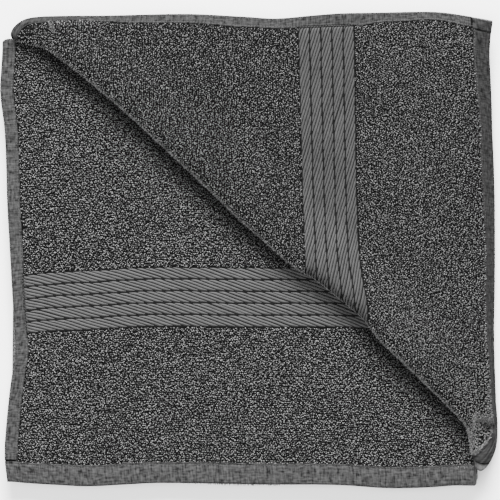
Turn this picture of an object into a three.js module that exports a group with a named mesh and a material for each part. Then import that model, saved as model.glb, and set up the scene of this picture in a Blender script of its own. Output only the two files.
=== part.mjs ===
// Folded bath sheet: one terry cloth with turned hems, as one closed solid.
// The cloth is folded in half lengthwise, then in three across, and the free corner of its top layer is
// turned up along the diagonal, so that the corner lies at the upper right and the fold is a soft roll.
// Millimetres, +Z up. The origin is under the middle of the packet, +X points right and +Y away.
import * as THREE from 'three';

// Cloth
const PILE_THICKNESS = 3.4; // terry with loops on both faces
const HEM_THICKNESS = 2.6; // turned and stitched, without loops
const BORDER_THICKNESS = 2.6; // dobby border, woven flat
const SIDE_HEM_WIDTH = 13;
const END_HEM_WIDTH = 21.5;
const BORDER_START = 165; // from the end of the cloth to the near side of the dobby border
const BORDER_END = 225;
const STEP_WIDTH = 2; // width over which the pile drops to a hem or border

// Layers: the upper leg (top), the middle leg and the lower leg, each of two layers, front and back
const LAYER_PITCH = 4.2;
const HALF_PITCH = LAYER_PITCH / 2;
const LOWER_LEG_Z = PILE_THICKNESS / 2 + HALF_PITCH; // between the two layers of the lower leg
const MIDDLE_LEG_Z = LOWER_LEG_Z + 2 * LAYER_PITCH;
const TOP_LEG_Z = MIDDLE_LEG_Z + 2 * LAYER_PITCH;
const FRONT_Z = TOP_LEG_Z + HALF_PITCH; // the front layer, which lies under the turned corner
const TURNED_Z = FRONT_Z + LAYER_PITCH; // the turned corner where it lies flat

// The long fold at the right: the line that its U-turn is centred on
const longFold = [
  { y: -247, x: 236.5 },
  { y: -200, x: 235 },
  { y: -150, x: 233.4 },
  { y: 0, x: 231.5 },
  { y: 120, x: 230 },
  { y: 240, x: 229.5 },
];

// The side hem of the back layer of the top leg, at the left
const visibleSideHem = [
  { y: -247, x: -253.8 },
  { y: -216, x: -257 },
  { y: -180, x: -254.8 },
  { y: -142, x: -251 },
  { y: -118, x: -247.6 },
  { y: -104, x: -245.4 },
  { y: -85, x: -245.8 },
  { y: -50, x: -248 },
  { y: -20, x: -249.8 },
  { y: 10, x: -251.6 },
  { y: 55, x: -254.2 },
  { y: 100, x: -255.4 },
  { y: 137, x: -257.2 },
  { y: 160, x: -260.2 },
  { y: 178, x: -261.6 },
  { y: 198, x: -260.5 },
  { y: 221, x: -259.2 },
];

// The side hems of the layers under it, which show only where the upper hem is drawn in
const hiddenSideHem = [
  { y: -240, x: -251.5 },
  { y: -180, x: -252.5 },
  { y: -120, x: -250.8 },
  { y: -50, x: -250.8 },
  { y: 0, x: -249.5 },
  { y: 100, x: -253 },
  { y: 180, x: -257 },
  { y: 225, x: -254 },
];

// How far each hidden side hem stays behind that line
const SIDE_HEM_INSETS = { middleBack: 3.2, middleFront: 5, lowerFront: 3.8, lowerBack: 1.2 };
const FRONT_HEM_AT_FOLD_X = -246; // where the front layer's side hem comes over the top fold

// The end hem of the back layer of the top leg, at the bottom
const visibleEndHem = [
  { x: -255, y: -243 },
  { x: -249, y: -242.8 },
  { x: -236, y: -244.2 },
  { x: -214, y: -245.4 },
  { x: -170, y: -247.6 },
  { x: -136, y: -246 },
  { x: -98, y: -244.2 },
  { x: -40, y: -244.7 },
  { x: 20, y: -245.8 },
  { x: 80, y: -246 },
  { x: 105, y: -246.9 },
  { x: 145, y: -249.6 },
  { x: 190, y: -248.7 },
  { x: 215, y: -246.8 },
  { x: 238, y: -247 },
];
const FRONT_END_AT_FOLD_Y = -227; // the end hem is drawn up where it comes over the long fold

// The cross folds: the lines that their U-turns are centred on, for the front and the back layer
const topFold = [
  { x: -260, front: 224, back: 218.4 },
  { x: -235, front: 226, back: 218.8 },
  { x: -190, front: 227.5, back: 223 },
  { x: -120, front: 228.5, back: 227.5 },
  { x: 0, front: 228, back: 228 },
  { x: 120, front: 229.5, back: 229.5 },
  { x: 240, front: 228, back: 228 },
];
const bottomFold = [
  { x: -260, y: -231 },
  { x: -150, y: -233.5 },
  { x: -40, y: -238.5 },
  { x: 5, y: -239.8 },
  { x: 40, y: -239 },
  { x: 90, y: -236 },
  { x: 150, y: -235 },
  { x: 240, y: -232 },
];
const LOWER_END_Y = 223; // the other end of the cloth, underneath
const MIDDLE_FOLD_INSET = 1.6; // the long fold of the middle leg stays this far behind the top one's
const LOWER_FOLD_INSET = 0.6;
const LEG_BOTTOM_Y = -245; // roughly where each leg begins and ends, to look up its sides
const LEG_TOP_Y = 228;

// The roll: the outermost line of the diagonal fold, as its distance from the straight line between
// the two ends of the fold, and the radius of the turn. "along" runs from the upper left, 0, to 1.
const rollEdge = [
  { along: 0, offset: 9 },
  { along: 0.05, offset: 12.6 },
  { along: 0.1, offset: 16.2 },
  { along: 0.15, offset: 18.5 },
  { along: 0.2, offset: 20.1 },
  { along: 0.3, offset: 20.9 },
  { along: 0.4, offset: 20.5 },
  { along: 0.46, offset: 20.2 },
  { along: 0.51, offset: 20.9 },
  { along: 0.56, offset: 22 },
  { along: 0.585, offset: 24.2 },
  { along: 0.61, offset: 27.3 },
  { along: 0.635, offset: 29.1 },
  { along: 0.66, offset: 30.1 },
  { along: 0.685, offset: 31.4 },
  { along: 0.708, offset: 31.9 },
  { along: 0.735, offset: 29.4 },
  { along: 0.76, offset: 27.7 },
  { along: 0.81, offset: 27.6 },
  { along: 0.86, offset: 27.2 },
  { along: 0.9125, offset: 26.2 },
  { along: 0.9635, offset: 22.7 },
  { along: 1, offset: 12 },
];
const rollRadius = [
  { along: 0, radius: 6 },
  { along: 0.15, radius: 7.2 },
  { along: 0.45, radius: 7 },
  { along: 0.68, radius: 8.2 },
  { along: 0.85, radius: 7.4 },
  { along: 1, radius: 6 },
];
const ROLL_END_LENGTH = 0.07; // share of the fold over which the roll opens into its end
const ROLL_MOUTH_START = 0.3; // share of that length from which the half circle takes over
const ROLL_FALL = 60; // distance over which the turned corner comes down from the roll

// The ends of the roll: where the front layer's two hems go round it, one row for each line of the roll,
// from under it to its crest
const rollEnds = [
  { left: [FRONT_HEM_AT_FOLD_X, 224.9, FRONT_Z], right: [236.5, FRONT_END_AT_FOLD_Y, FRONT_Z] },
  { left: [-248.2, 222.6, 24.2], right: [235.1, -229.2, 24] },
  { left: [-249.6, 223.2, 26.8], right: [235.8, -230.8, 26.5] },
  { left: [-249.8, 226.5, 28.6], right: [239.6, -230.8, 28.8] },
  { left: [-248.2, 230.8, 28.8], right: [246.4, -227.2, 28.4] },
  { left: [-244, 236, 28], right: [252.8, -219.6, 25.2] },
  { left: [-237, 240.7, 27], right: [257.6, -209.2, 20] },
  { left: [-228, 243.1, 26], right: [259.8, -197.8, 14.4] },
  { left: [-216, 244.2, 25.3], right: [260.2, -185, 9.5] },
];

// The turned corner: its side hem along the top and its end hem down the right, which droop a little
// over the folds beneath
const turnedSideHem = [
  { x: -216, y: 244.2, z: 25.3 },
  { x: -190, y: 244.9, z: 23.6 },
  { x: -150, y: 245.3, z: 22 },
  { x: -65, y: 247.1, z: 21.5 },
  { x: -5, y: 244.2, z: 21.6 },
  { x: 27, y: 242.3, z: 22 },
  { x: 65, y: 245.3, z: 24 },
  { x: 95, y: 247.5, z: 25 },
  { x: 140, y: 248.4, z: 23.5 },
  { x: 185, y: 249.4, z: 21.6 },
  { x: 205, y: 248.3, z: 21.8 },
  { x: 232, y: 244.1, z: 23.4 },
  { x: 254.2, y: 240.2, z: 24.6 },
];
const turnedEndHem = [
  { y: -185, x: 260.2, z: 9.5 },
  { y: -160, x: 258.8, z: 6.4 },
  { y: -130, x: 257.8, z: 5.6 },
  { y: -90, x: 256.8, z: 5.8 },
  { y: -40, x: 257.6, z: 7 },
  { y: 40, x: 257.6, z: 8.4 },
  { y: 85, x: 256.6, z: 9.8 },
  { y: 125, x: 254.8, z: 11.4 },
  { y: 155, x: 253.9, z: 13.6 },
  { y: 187, x: 252.3, z: 16.6 },
  { y: 205, x: 251.3, z: 19 },
  { y: 225, x: 252.3, z: 22 },
  { y: 240.2, x: 254.2, z: 24.6 },
];
const SIDE_DROOP_REACH = 14; // how far in from the side hem's edge the droop begins
const END_DROOP_REACH = 21;
const DROOP_POWER = 1.4;
const DROOP_REACH_PER_HEIGHT = 1.6; // a higher edge droops over a longer stretch
const CORNER_DISTANCE = 318; // from the roll's crest to the turned corner
const FRONT_BEND_POWER = 2; // how soon the lines of the front layer turn straight away from the roll
const TURNED_BEND_POWER = 1.5; // the same for the turned corner

// The folded layers rise and dip a little
const SWELL = 0.03;
const SWELL_LENGTH_X = 78;
const SWELL_LENGTH_Y = 92;
const SWELL_SHIFT_X = 1.1;
const SWELL_SHIFT_Y = 0.4;
const SWELL_START_Z = 4; // the lowest layer stays flat
const SWELL_FULL_Z = 12;

// Mesh
const ARC_STEPS = 6; // for each U-turn
const ROLL_CELLS = 34; // along the roll
const ROLL_CROWDING = 0.55; // how much closer together they are at its ends, from 0 to 1
const MEETING_CELLS = 3; // the cells of each fold along which the roll starts right from the fold
const MEETING_GAP = 0.02; // share of the roll kept free of points next to them
const FRONT_CELL_SHARE = 0.8; // cells of the front layer for each cell of the roll
const CORNER_CELLS = 26; // along the longest line of the turned corner
const CORNER_LINES = 18;
const LONGEST_SIDE_HEM_SHARE = 0.4; // of a short line near the turned corner
const LONGEST_END_HEM_SHARE = 0.5;
const LONGEST_STEP_SHARE = 0.04;
const PANEL_WIDTH = 486; // of one layer, from its side hem to the long fold
const PANEL_LENGTH = 478; // of one leg, from fold to fold
const CLOTH_COLOUR = '#525254';

// Shares of the way at which the cells end: across a layer, up the top leg, up the hidden legs, over a hem
const colRatios = [0.06, 0.11, 0.17, 0.23, 0.29, 0.35, 0.41, 0.48, 0.55, 0.62, 0.69, 0.76, 0.83, 0.9, 0.96];
const rowRatios = [0.12, 0.2, 0.28, 0.41, 0.54, 0.61, 0.68, 0.75, 0.82, 0.89, 0.95];
const hiddenRatios = [0, 0.2, 0.4, 0.6, 0.8];
const hemRatios = [0.25, 0.5, 0.75];

const lerp = THREE.MathUtils.lerp;
const smoothstep = THREE.MathUtils.smoothstep;
const clamp = THREE.MathUtils.clamp;

// Value of one column of a table at a place along another column, on a smooth curve through its rows
function along(table, key, at, column) {
  const last = table.length - 1;
  const place = clamp(at, table[0][key], table[last][key]);
  let i = 0;
  while (i < last - 1 && table[i + 1][key] < place) i += 1;
  const slope = (a, b) => (table[b][column] - table[a][column]) / (table[b][key] - table[a][key]);
  const span = table[i + 1][key] - table[i][key];
  const share = (place - table[i][key]) / span;
  const slopeIn = slope(Math.max(i - 1, 0), i + 1) * span;
  const slopeOut = slope(i, Math.min(i + 2, last)) * span;
  const s2 = share * share;
  const s3 = s2 * share;
  return (
    (2 * s3 - 3 * s2 + 1) * table[i][column] +
    (s3 - 2 * s2 + share) * slopeIn +
    (3 * s2 - 2 * s3) * table[i + 1][column] +
    (s3 - s2) * slopeOut
  );
}

// The middle surface of the cloth, as points with a thickness and triangles between them
const points = [];
const thicknesses = [];
const triangles = [];

function swell(x, y, z) {
  const wave = Math.sin(x / SWELL_LENGTH_X + SWELL_SHIFT_X) * Math.cos(y / SWELL_LENGTH_Y + SWELL_SHIFT_Y);
  return z * (1 + SWELL * wave * smoothstep(z, SWELL_START_Z, SWELL_FULL_Z));
}

function addPoint(x, y, z, thickness) {
  points.push(new THREE.Vector3(x, y, swell(x, y, z)));
  thicknesses.push(thickness);
  return points.length - 1;
}

// Thickness of the cloth by the distances from its side hem's edge and from its end
function thicknessAt(fromSide, fromEnd) {
  if (fromSide <= SIDE_HEM_WIDTH || fromEnd <= END_HEM_WIDTH) return HEM_THICKNESS;
  if (fromEnd >= BORDER_START && fromEnd <= BORDER_END) return BORDER_THICKNESS;
  return PILE_THICKNESS;
}

// Columns run from the front layer's side hem over the long fold to the back layer's side hem
function layColumns() {
  const hemEdge = SIDE_HEM_WIDTH / PANEL_WIDTH;
  const pileEdge = (SIDE_HEM_WIDTH + STEP_WIDTH) / PANEL_WIDTH;
  const front = [0, hemEdge, pileEdge, ...colRatios, 1].map((across) => ({ across, turn: 0 }));
  const fold = [];
  for (let i = 1; i < ARC_STEPS; i += 1) fold.push({ across: 1, turn: (Math.PI * i) / ARC_STEPS });
  const back = [...front].reverse().map(({ across }) => ({ across, turn: Math.PI }));
  return { columns: [...front, ...fold, ...back], frontCount: front.length };
}

// Rows run from the end hem of the top leg over the top fold, the middle leg and the bottom fold
// to the other end of the cloth under the packet
function layRows() {
  const toRatio = (length) => length / PANEL_LENGTH;
  const marks = [END_HEM_WIDTH, END_HEM_WIDTH + STEP_WIDTH, BORDER_START - STEP_WIDTH, BORDER_START];
  marks.push(BORDER_END, BORDER_END + STEP_WIDTH);
  const topRatios = [0, ...rowRatios, ...marks.map(toRatio), 1].sort((a, b) => a - b);
  const rows = topRatios.map((up) => ({ leg: 'top', up, fromEnd: up * PANEL_LENGTH }));
  const arc = (leg) => {
    for (let i = 1; i < ARC_STEPS; i += 1) rows.push({ leg, turn: (Math.PI * i) / ARC_STEPS });
  };
  arc('topFold');
  for (const up of hiddenRatios) rows.push({ leg: 'middle', up: 1 - up });
  rows.push({ leg: 'middle', up: 0 });
  arc('bottomFold');
  for (const up of hiddenRatios) rows.push({ leg: 'lower', up });
  const lowerHem = 1 - toRatio(END_HEM_WIDTH);
  rows.push({ leg: 'lower', up: lowerHem - toRatio(STEP_WIDTH) });
  rows.push({ leg: 'lower', up: lowerHem, fromEnd: END_HEM_WIDTH });
  rows.push({ leg: 'lower', up: 1, fromEnd: 0 });
  return { rows, topCount: topRatios.length };
}

// Share of the way from the front layer to the back layer, over the long fold
function backShare(turn) {
  return (1 - Math.cos(turn)) / 2;
}

function sideHemX(leg, share, y) {
  const hidden = along(hiddenSideHem, 'y', y, 'x');
  if (leg === 'top') return share < 0.5 ? FRONT_HEM_AT_FOLD_X : along(visibleSideHem, 'y', y, 'x');
  if (leg === 'middle') {
    return hidden + (share < 0.5 ? SIDE_HEM_INSETS.middleFront : SIDE_HEM_INSETS.middleBack);
  }
  return hidden + (share < 0.5 ? SIDE_HEM_INSETS.lowerFront : SIDE_HEM_INSETS.lowerBack);
}

function foldX(leg, y) {
  const inset = { top: 0, middle: MIDDLE_FOLD_INSET, lower: LOWER_FOLD_INSET }[leg];
  return along(longFold, 'y', y, 'x') - inset;
}

function topFoldY(x, share) {
  return lerp(along(topFold, 'x', x, 'front'), along(topFold, 'x', x, 'back'), share);
}

function bottomY(leg, x, share) {
  if (leg !== 'top') return along(bottomFold, 'x', x, 'y');
  const drawnUp = FRONT_END_AT_FOLD_Y - along(visibleEndHem, 'x', longFold[0].x, 'y');
  return along(visibleEndHem, 'x', x, 'y') + drawnUp * (1 - share);
}

// A point of a flat leg, by its share of the way across and up
function legPoint(leg, across, turn, up) {
  const share = backShare(turn);
  const roughY = lerp(LEG_BOTTOM_Y, LEG_TOP_Y, up);
  const x = lerp(sideHemX(leg, share, roughY), foldX(leg, roughY), across);
  const topY = leg === 'lower' ? LOWER_END_Y : topFoldY(x, share);
  const y = lerp(bottomY(leg, x, share), topY, up);
  const legZ = { top: TOP_LEG_Z, middle: MIDDLE_LEG_Z, lower: LOWER_LEG_Z }[leg];
  const side = leg === 'middle' ? -1 : 1;
  return [x + HALF_PITCH * Math.sin(turn), y, legZ + side * HALF_PITCH * Math.cos(turn)];
}

// A point of a cross fold: the two legs' ends joined by a U-turn about the line between them
function foldPoint(upperLeg, lowerLeg, up, across, turn, foldTurn) {
  const from = legPoint(upperLeg, across, turn, up);
  const to = legPoint(lowerLeg, across, turn, up);
  const radius = (from[2] - to[2]) / 2;
  const outward = up === 1 ? 1 : -1;
  const share = (1 - Math.cos(foldTurn)) / 2;
  const x = lerp(from[0], to[0], share);
  const y = lerp(from[1], to[1], share) + outward * radius * Math.sin(foldTurn);
  return [x, y, lerp(from[2], to[2], share)];
}

function gridPoint(column, row) {
  const { across, turn } = column;
  if (row.leg === 'topFold') return foldPoint('top', 'middle', 1, across, turn, row.turn);
  if (row.leg === 'bottomFold') return foldPoint('middle', 'lower', 0, across, turn, row.turn);
  return legPoint(row.leg, across, turn, row.up);
}

// All of the cloth but the front layer of the top leg, whose top and right sides only are laid here
function layFoldedLayers() {
  const { columns, frontCount } = layColumns();
  const { rows, topCount } = layRows();
  const isFrontTop = (i, j) => i < frontCount - 1 && j < topCount - 1;
  const indices = rows.map((row, j) =>
    columns.map((column, i) => {
      if (isFrontTop(i, j)) return -1;
      const fromEnd = row.fromEnd ?? Infinity;
      const thickness = thicknessAt(column.across * PANEL_WIDTH, fromEnd);
      return addPoint(...gridPoint(column, row), thickness);
    }),
  );
  for (let j = 0; j + 1 < rows.length; j += 1) {
    for (let i = 0; i + 1 < columns.length; i += 1) {
      if (isFrontTop(i, j)) continue;
      const [a, b] = [indices[j][i], indices[j][i + 1]];
      const [d, c] = [indices[j + 1][i], indices[j + 1][i + 1]];
      triangles.push([a, b, c], [a, c, d]);
    }
  }
  const topSide = indices[topCount - 1].slice(0, frontCount);
  const rightSide = indices.slice(0, topCount).map((row) => row[frontCount - 1]);
  return { topSide, rightSide };
}

// Joins two neighbouring lines of points by triangles, whatever their numbers of points
function joinLines(first, second) {
  let i = 0;
  let j = 0;
  while (i < first.length - 1 || j < second.length - 1) {
    const nextFirst = i < first.length - 1 ? first[i + 1].share : Infinity;
    const nextSecond = j < second.length - 1 ? second[j + 1].share : Infinity;
    if (nextFirst < nextSecond) {
      triangles.push([first[i].index, second[j].index, first[i + 1].index]);
      i += 1;
    } else {
      triangles.push([first[i].index, second[j].index, second[j + 1].index]);
      j += 1;
    }
  }
}

// Shares along a line at which points are set: close at the hems and even between them
function lineShares(length, cells) {
  const startHem = Math.min((SIDE_HEM_WIDTH * Math.SQRT2) / length, LONGEST_SIDE_HEM_SHARE);
  const endHem = Math.min((END_HEM_WIDTH * Math.SQRT2) / length, LONGEST_END_HEM_SHARE);
  const step = Math.min((STEP_WIDTH * Math.SQRT2) / length, LONGEST_STEP_SHARE);
  const shares = [0, ...hemRatios.map((part) => startHem * part), startHem];
  const from = startHem + step;
  const to = 1 - endHem - step;
  for (let i = 0; i <= cells && to > from; i += 1) shares.push(lerp(from, to, i / cells));
  shares.push(1 - endHem, ...hemRatios.map((part) => 1 - endHem * (1 - part)), 1);
  return { shares, startHem, endHem };
}

function hemThickness(share, startHem, endHem) {
  return share <= startHem || share >= 1 - endHem ? HEM_THICKNESS : PILE_THICKNESS;
}

// The straight line between the two ends of the roll, and the way from it to the turned corner
const rollStart = new THREE.Vector3(...rollEnds[0].left);
const rollEnd = new THREE.Vector3(...rollEnds[0].right);
const rollLength = rollStart.distanceTo(rollEnd);
const rollDirection = rollEnd.clone().sub(rollStart).normalize();
const rollInward = new THREE.Vector3(-rollDirection.y, rollDirection.x, 0);

function rollAngle(line) {
  return Math.PI * (line / (rollEnds.length - 1) - 0.5);
}

// A point of the half circle that the cloth makes in the roll, the angle running from below to the crest
function rollSection(angle, share) {
  const radius = along(rollRadius, 'along', share, 'radius');
  const edge = along(rollEdge, 'along', share, 'offset') + PILE_THICKNESS / 2;
  const offset = edge + radius * (1 - Math.cos(angle));
  const place = rollStart.clone().lerp(rollEnd, share).addScaledVector(rollInward, offset);
  place.z = FRONT_Z + radius * (1 + Math.sin(angle));
  return place;
}

// A point of one line of the roll: a half circle in the middle stretch, opening into the two ends
function rollPoint(line, share) {
  const angle = rollAngle(line);
  const fromEnd = Math.min(share, 1 - share);
  if (fromEnd >= ROLL_END_LENGTH) return rollSection(angle, share);
  const tip = new THREE.Vector3(...(share < 0.5 ? rollEnds[line].left : rollEnds[line].right));
  const mouth = rollSection(angle, share < 0.5 ? ROLL_END_LENGTH : 1 - ROLL_END_LENGTH);
  const reach = fromEnd / ROLL_END_LENGTH;
  const straight = tip.clone().lerp(mouth, reach);
  straight.z = lerp(mouth.z, tip.z, (1 - reach) ** DROOP_POWER);
  return straight.lerp(rollSection(angle, share), smoothstep(reach, ROLL_MOUTH_START, 1));
}

// Shares of the way along the roll, closer together at its ends
function rollShares() {
  const shares = [];
  for (let i = 0; i <= ROLL_CELLS; i += 1) {
    const even = i / ROLL_CELLS;
    shares.push(even - (ROLL_CROWDING * Math.sin(2 * Math.PI * even)) / (2 * Math.PI));
  }
  return shares;
}

function shareOf(index) {
  return points[index].clone().sub(rollStart).dot(rollDirection) / rollLength;
}

// The front layer from the long fold and the top fold to the diagonal, in lines that run with the roll.
// The first of them is the line on which the roll stands; at its ends it runs along the two folds.
function layFrontLayer(topSide, rightSide) {
  const toPoint = (index) => ({ index, share: shareOf(index) });
  const left = topSide.slice(0, MEETING_CELLS + 1).map(toPoint);
  const right = rightSide.slice(0, MEETING_CELLS + 1).reverse().map(toPoint);
  const [from, to] = [left[MEETING_CELLS].share, right[0].share];
  const inner = rollShares().filter((share) => share > from + MEETING_GAP && share < to - MEETING_GAP);
  const middle = inner.map((share) => {
    const place = rollSection(rollAngle(0), share);
    return { index: addPoint(...place, PILE_THICKNESS), share };
  });
  const contactLine = [...left, ...middle, ...right];
  const meetings = [points[topSide[MEETING_CELLS]], points[rightSide[MEETING_CELLS]]];
  const count = topSide.length - 1;
  const width = meetings[0].distanceTo(points[topSide[count]]);
  const lines = [contactLine];
  for (let k = MEETING_CELLS + 1; k < count; k += 1) {
    const [start, end] = [points[topSide[k]], points[rightSide[k]]];
    const toCorner = start.distanceTo(meetings[0]) / width;
    const cells = Math.max(2, Math.round(inner.length * (1 - toCorner) * FRONT_CELL_SHARE));
    const line = [];
    for (let i = 0; i <= cells; i += 1) {
      const across = i / cells;
      const share = lerp(from, to, across);
      const bulge = rollSection(rollAngle(0), share);
      bulge.sub(new THREE.Vector3().lerpVectors(...meetings, across));
      const place = new THREE.Vector3().lerpVectors(start, end, across);
      place.addScaledVector(bulge, (1 - toCorner) ** FRONT_BEND_POWER);
      const isInner = i > 0 && i < cells;
      const index = isInner ? addPoint(place.x, place.y, FRONT_Z, PILE_THICKNESS) : -1;
      line.push({ index, share });
    }
    line[0].index = topSide[k];
    line[cells].index = rightSide[k];
    lines.push(line);
  }
  lines.push([{ index: topSide[count], share: 0 }]);
  const shorter = contactLine.slice(MEETING_CELLS, contactLine.length - MEETING_CELLS);
  for (let k = lines.length - 1; k > 1; k -= 1) joinLines(lines[k], lines[k - 1]);
  joinLines(lines[1], shorter);
  return contactLine;
}

function layRoll(contactLine) {
  const sideHemShare = (SIDE_HEM_WIDTH * Math.SQRT2) / rollLength;
  const endHemShare = (END_HEM_WIDTH * Math.SQRT2) / rollLength;
  let previous = contactLine;
  for (let line = 1; line < rollEnds.length; line += 1) {
    const current = rollShares().map((share) => {
      const thickness = hemThickness(share, sideHemShare, endHemShare);
      return { index: addPoint(...rollPoint(line, share), thickness), share };
    });
    joinLines(previous, current);
    previous = current;
  }
  return previous;
}

// The turned corner, in lines from the side hem at the top to the end hem at the right
function layTurnedCorner(crestLine) {
  const lastRow = rollEnds.length - 1;
  const [crestStart, crestEnd] = [rollEnds[lastRow].left, rollEnds[lastRow].right];
  const cornerRow = turnedSideHem[turnedSideHem.length - 1];
  let previous = crestLine;
  for (let k = 1; k <= CORNER_LINES; k += 1) {
    const toCorner = k / CORNER_LINES;
    const startX = lerp(crestStart[0], cornerRow.x, toCorner);
    const endY = lerp(crestEnd[1], cornerRow.y, toCorner);
    const start = new THREE.Vector3(
      startX,
      along(turnedSideHem, 'x', startX, 'y'),
      along(turnedSideHem, 'x', startX, 'z'),
    );
    const end = new THREE.Vector3(
      along(turnedEndHem, 'y', endY, 'x'),
      endY,
      along(turnedEndHem, 'y', endY, 'z'),
    );
    if (k === CORNER_LINES) {
      joinLines(previous, [{ index: addPoint(...start, HEM_THICKNESS), share: 0 }]);
      return;
    }
    const length = start.distanceTo(end);
    const cells = Math.max(2, Math.round(CORNER_CELLS * (1 - toCorner)));
    const { shares, startHem, endHem } = lineShares(length, cells);
    const distance = toCorner * CORNER_DISTANCE;
    const bend = (1 - toCorner) ** TURNED_BEND_POWER;
    const current = shares.map((share) => {
      const crest = rollPoint(lastRow, share);
      const crestChord = new THREE.Vector3(...crestStart).lerp(new THREE.Vector3(...crestEnd), share);
      const place = new THREE.Vector3().lerpVectors(start, end, share);
      place.addScaledVector(crest.clone().sub(crestChord), bend);
      const crestHeight = FRONT_Z + 2 * along(rollRadius, 'along', share, 'radius');
      const bodyZ = lerp(crestHeight, TURNED_Z, smoothstep(distance, 0, ROLL_FALL));
      const extra = DROOP_REACH_PER_HEIGHT * (bodyZ - TURNED_Z);
      const fromStart = (share * length) / Math.SQRT2 / (SIDE_DROOP_REACH + extra);
      const fromEnd = ((1 - share) * length) / Math.SQRT2 / (END_DROOP_REACH + extra);
      const startDrop = (bodyZ - start.z) * Math.max(0, 1 - fromStart) ** DROOP_POWER;
      const endDrop = (bodyZ - end.z) * Math.max(0, 1 - fromEnd) ** DROOP_POWER;
      const z = bodyZ - Math.max(startDrop, endDrop);
      return { index: addPoint(place.x, place.y, z, hemThickness(share, startHem, endHem)), share };
    });
    joinLines(previous, current);
    previous = current;
  }
}

// A closed solid: the middle surface moved out by half its thickness to both sides, with its rim closed
function thicken() {
  const normals = points.map(() => new THREE.Vector3());
  const edgeOwners = new Map();
  for (const [a, b, c] of triangles) {
    const corners = [a, b, c];
    for (let i = 0; i < 3; i += 1) {
      const [here, next, previous] = [corners[i], corners[(i + 1) % 3], corners[(i + 2) % 3]];
      const toNext = points[next].clone().sub(points[here]);
      const toPrevious = points[previous].clone().sub(points[here]);
      const faceNormal = toNext.clone().cross(toPrevious).normalize();
      normals[here].addScaledVector(faceNormal, toNext.angleTo(toPrevious));
      const back = `${next},${here}`;
      if (edgeOwners.has(back)) edgeOwners.delete(back);
      else edgeOwners.set(`${here},${next}`, [here, next]);
    }
  }
  const positions = [];
  for (const side of [1, -1]) {
    points.forEach((point, i) => {
      const moved = point.clone().addScaledVector(normals[i].normalize(), (side * thicknesses[i]) / 2);
      positions.push(moved.x, moved.y, moved.z);
    });
  }
  const count = points.length;
  const faces = [];
  for (const [a, b, c] of triangles) faces.push(a, b, c, a + count, c + count, b + count);
  for (const [a, b] of edgeOwners.values()) faces.push(a, a + count, b + count, a, b + count, b);
  const geometry = new THREE.BufferGeometry();
  geometry.setAttribute('position', new THREE.Float32BufferAttribute(positions, 3));
  geometry.setIndex(faces);
  geometry.computeVertexNormals();
  return geometry;
}

const { topSide, rightSide } = layFoldedLayers();
const contactLine = layFrontLayer(topSide, rightSide);
const crestLine = layRoll(contactLine);
layTurnedCorner(crestLine);

const terry = new THREE.MeshStandardMaterial({ color: CLOTH_COLOUR, roughness: 0.95, metalness: 0 });
const towel = new THREE.Mesh(thicken(), terry);
towel.name = 'towel';

const foldedBathSheet = new THREE.Group();
foldedBathSheet.add(towel);

export default foldedBathSheet;
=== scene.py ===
"""Folded bath sheet in charcoal cotton terry, seen from straight above.

The cloth is laid here as in the solid model, in finer cells: folded in half lengthwise, then in three
across, with the free corner of its top layer turned up along the diagonal. Its loops, border stripes, hem
bands and stitches are then set on that surface by their place (u, v) in the flat cloth: u from the side
hem of the front layer over the long fold to that of the back layer, v from the end hem. Tables are in mm.
"""

import math

import bpy
import numpy as np
from mathutils import Euler, Matrix, Vector
from mathutils.bvhtree import BVHTree


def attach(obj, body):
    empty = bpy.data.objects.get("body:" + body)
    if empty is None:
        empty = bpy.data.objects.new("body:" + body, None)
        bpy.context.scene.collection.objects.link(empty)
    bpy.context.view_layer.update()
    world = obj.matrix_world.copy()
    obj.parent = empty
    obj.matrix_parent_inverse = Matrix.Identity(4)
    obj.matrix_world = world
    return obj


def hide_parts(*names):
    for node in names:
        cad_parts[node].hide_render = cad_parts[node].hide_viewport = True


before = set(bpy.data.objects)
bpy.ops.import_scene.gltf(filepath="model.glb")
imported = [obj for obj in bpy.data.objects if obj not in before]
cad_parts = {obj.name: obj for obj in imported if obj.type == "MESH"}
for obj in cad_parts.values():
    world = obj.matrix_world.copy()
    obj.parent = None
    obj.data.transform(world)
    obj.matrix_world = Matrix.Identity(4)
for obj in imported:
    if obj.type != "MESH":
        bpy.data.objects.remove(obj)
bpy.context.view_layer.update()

MM = 0.001

# Cloth
SIDE_HEM = 13
END_HEM = 21.5
BORDER_START = 166  # from the end of the cloth
BORDER_END = 229
BORDER_MIDDLE = (BORDER_START + BORDER_END) / 2
PANEL_WIDTH = 486  # from the side hem to the long fold
PANEL_LENGTH = 478  # from fold to fold
GROUND_HALF = 1.0  # half thickness of the ground cloth that the loops stand on
HEM_HALF = 1.3
HEM_CORE_HALF = 0.8  # of the sheet inside the hem bands
BANDED_UP_TO = 560  # along the cloth
BORDER_HALF = 1.05
STEP = 3  # width over which the thickness changes
RIM_BULGE = 0.7  # how round the folded edge of a hem is

# Layers, from the solid model
PITCH = 4.2
ARC_LENGTH = PITCH / 2 * math.pi  # of the cloth round the long fold
FOLD_LENGTH = PITCH * math.pi  # of the cloth round a cross fold
CLOTH_WIDTH = 2 * PANEL_WIDTH + ARC_LENGTH
LEG_Z = {"lower": 3.8, "middle": 12.2, "top": 20.6}
FRONT_Z = 22.7
TURNED_Z = 26.9

# The long fold at the right, as (y, x)
LONG_FOLD = [(-247, 236.5), (-200, 235), (-150, 233.4), (0, 231.5), (120, 230), (240, 229.5)]
MIDDLE_FOLD_INSET = 1.6
LOWER_FOLD_INSET = 0.6

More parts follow.
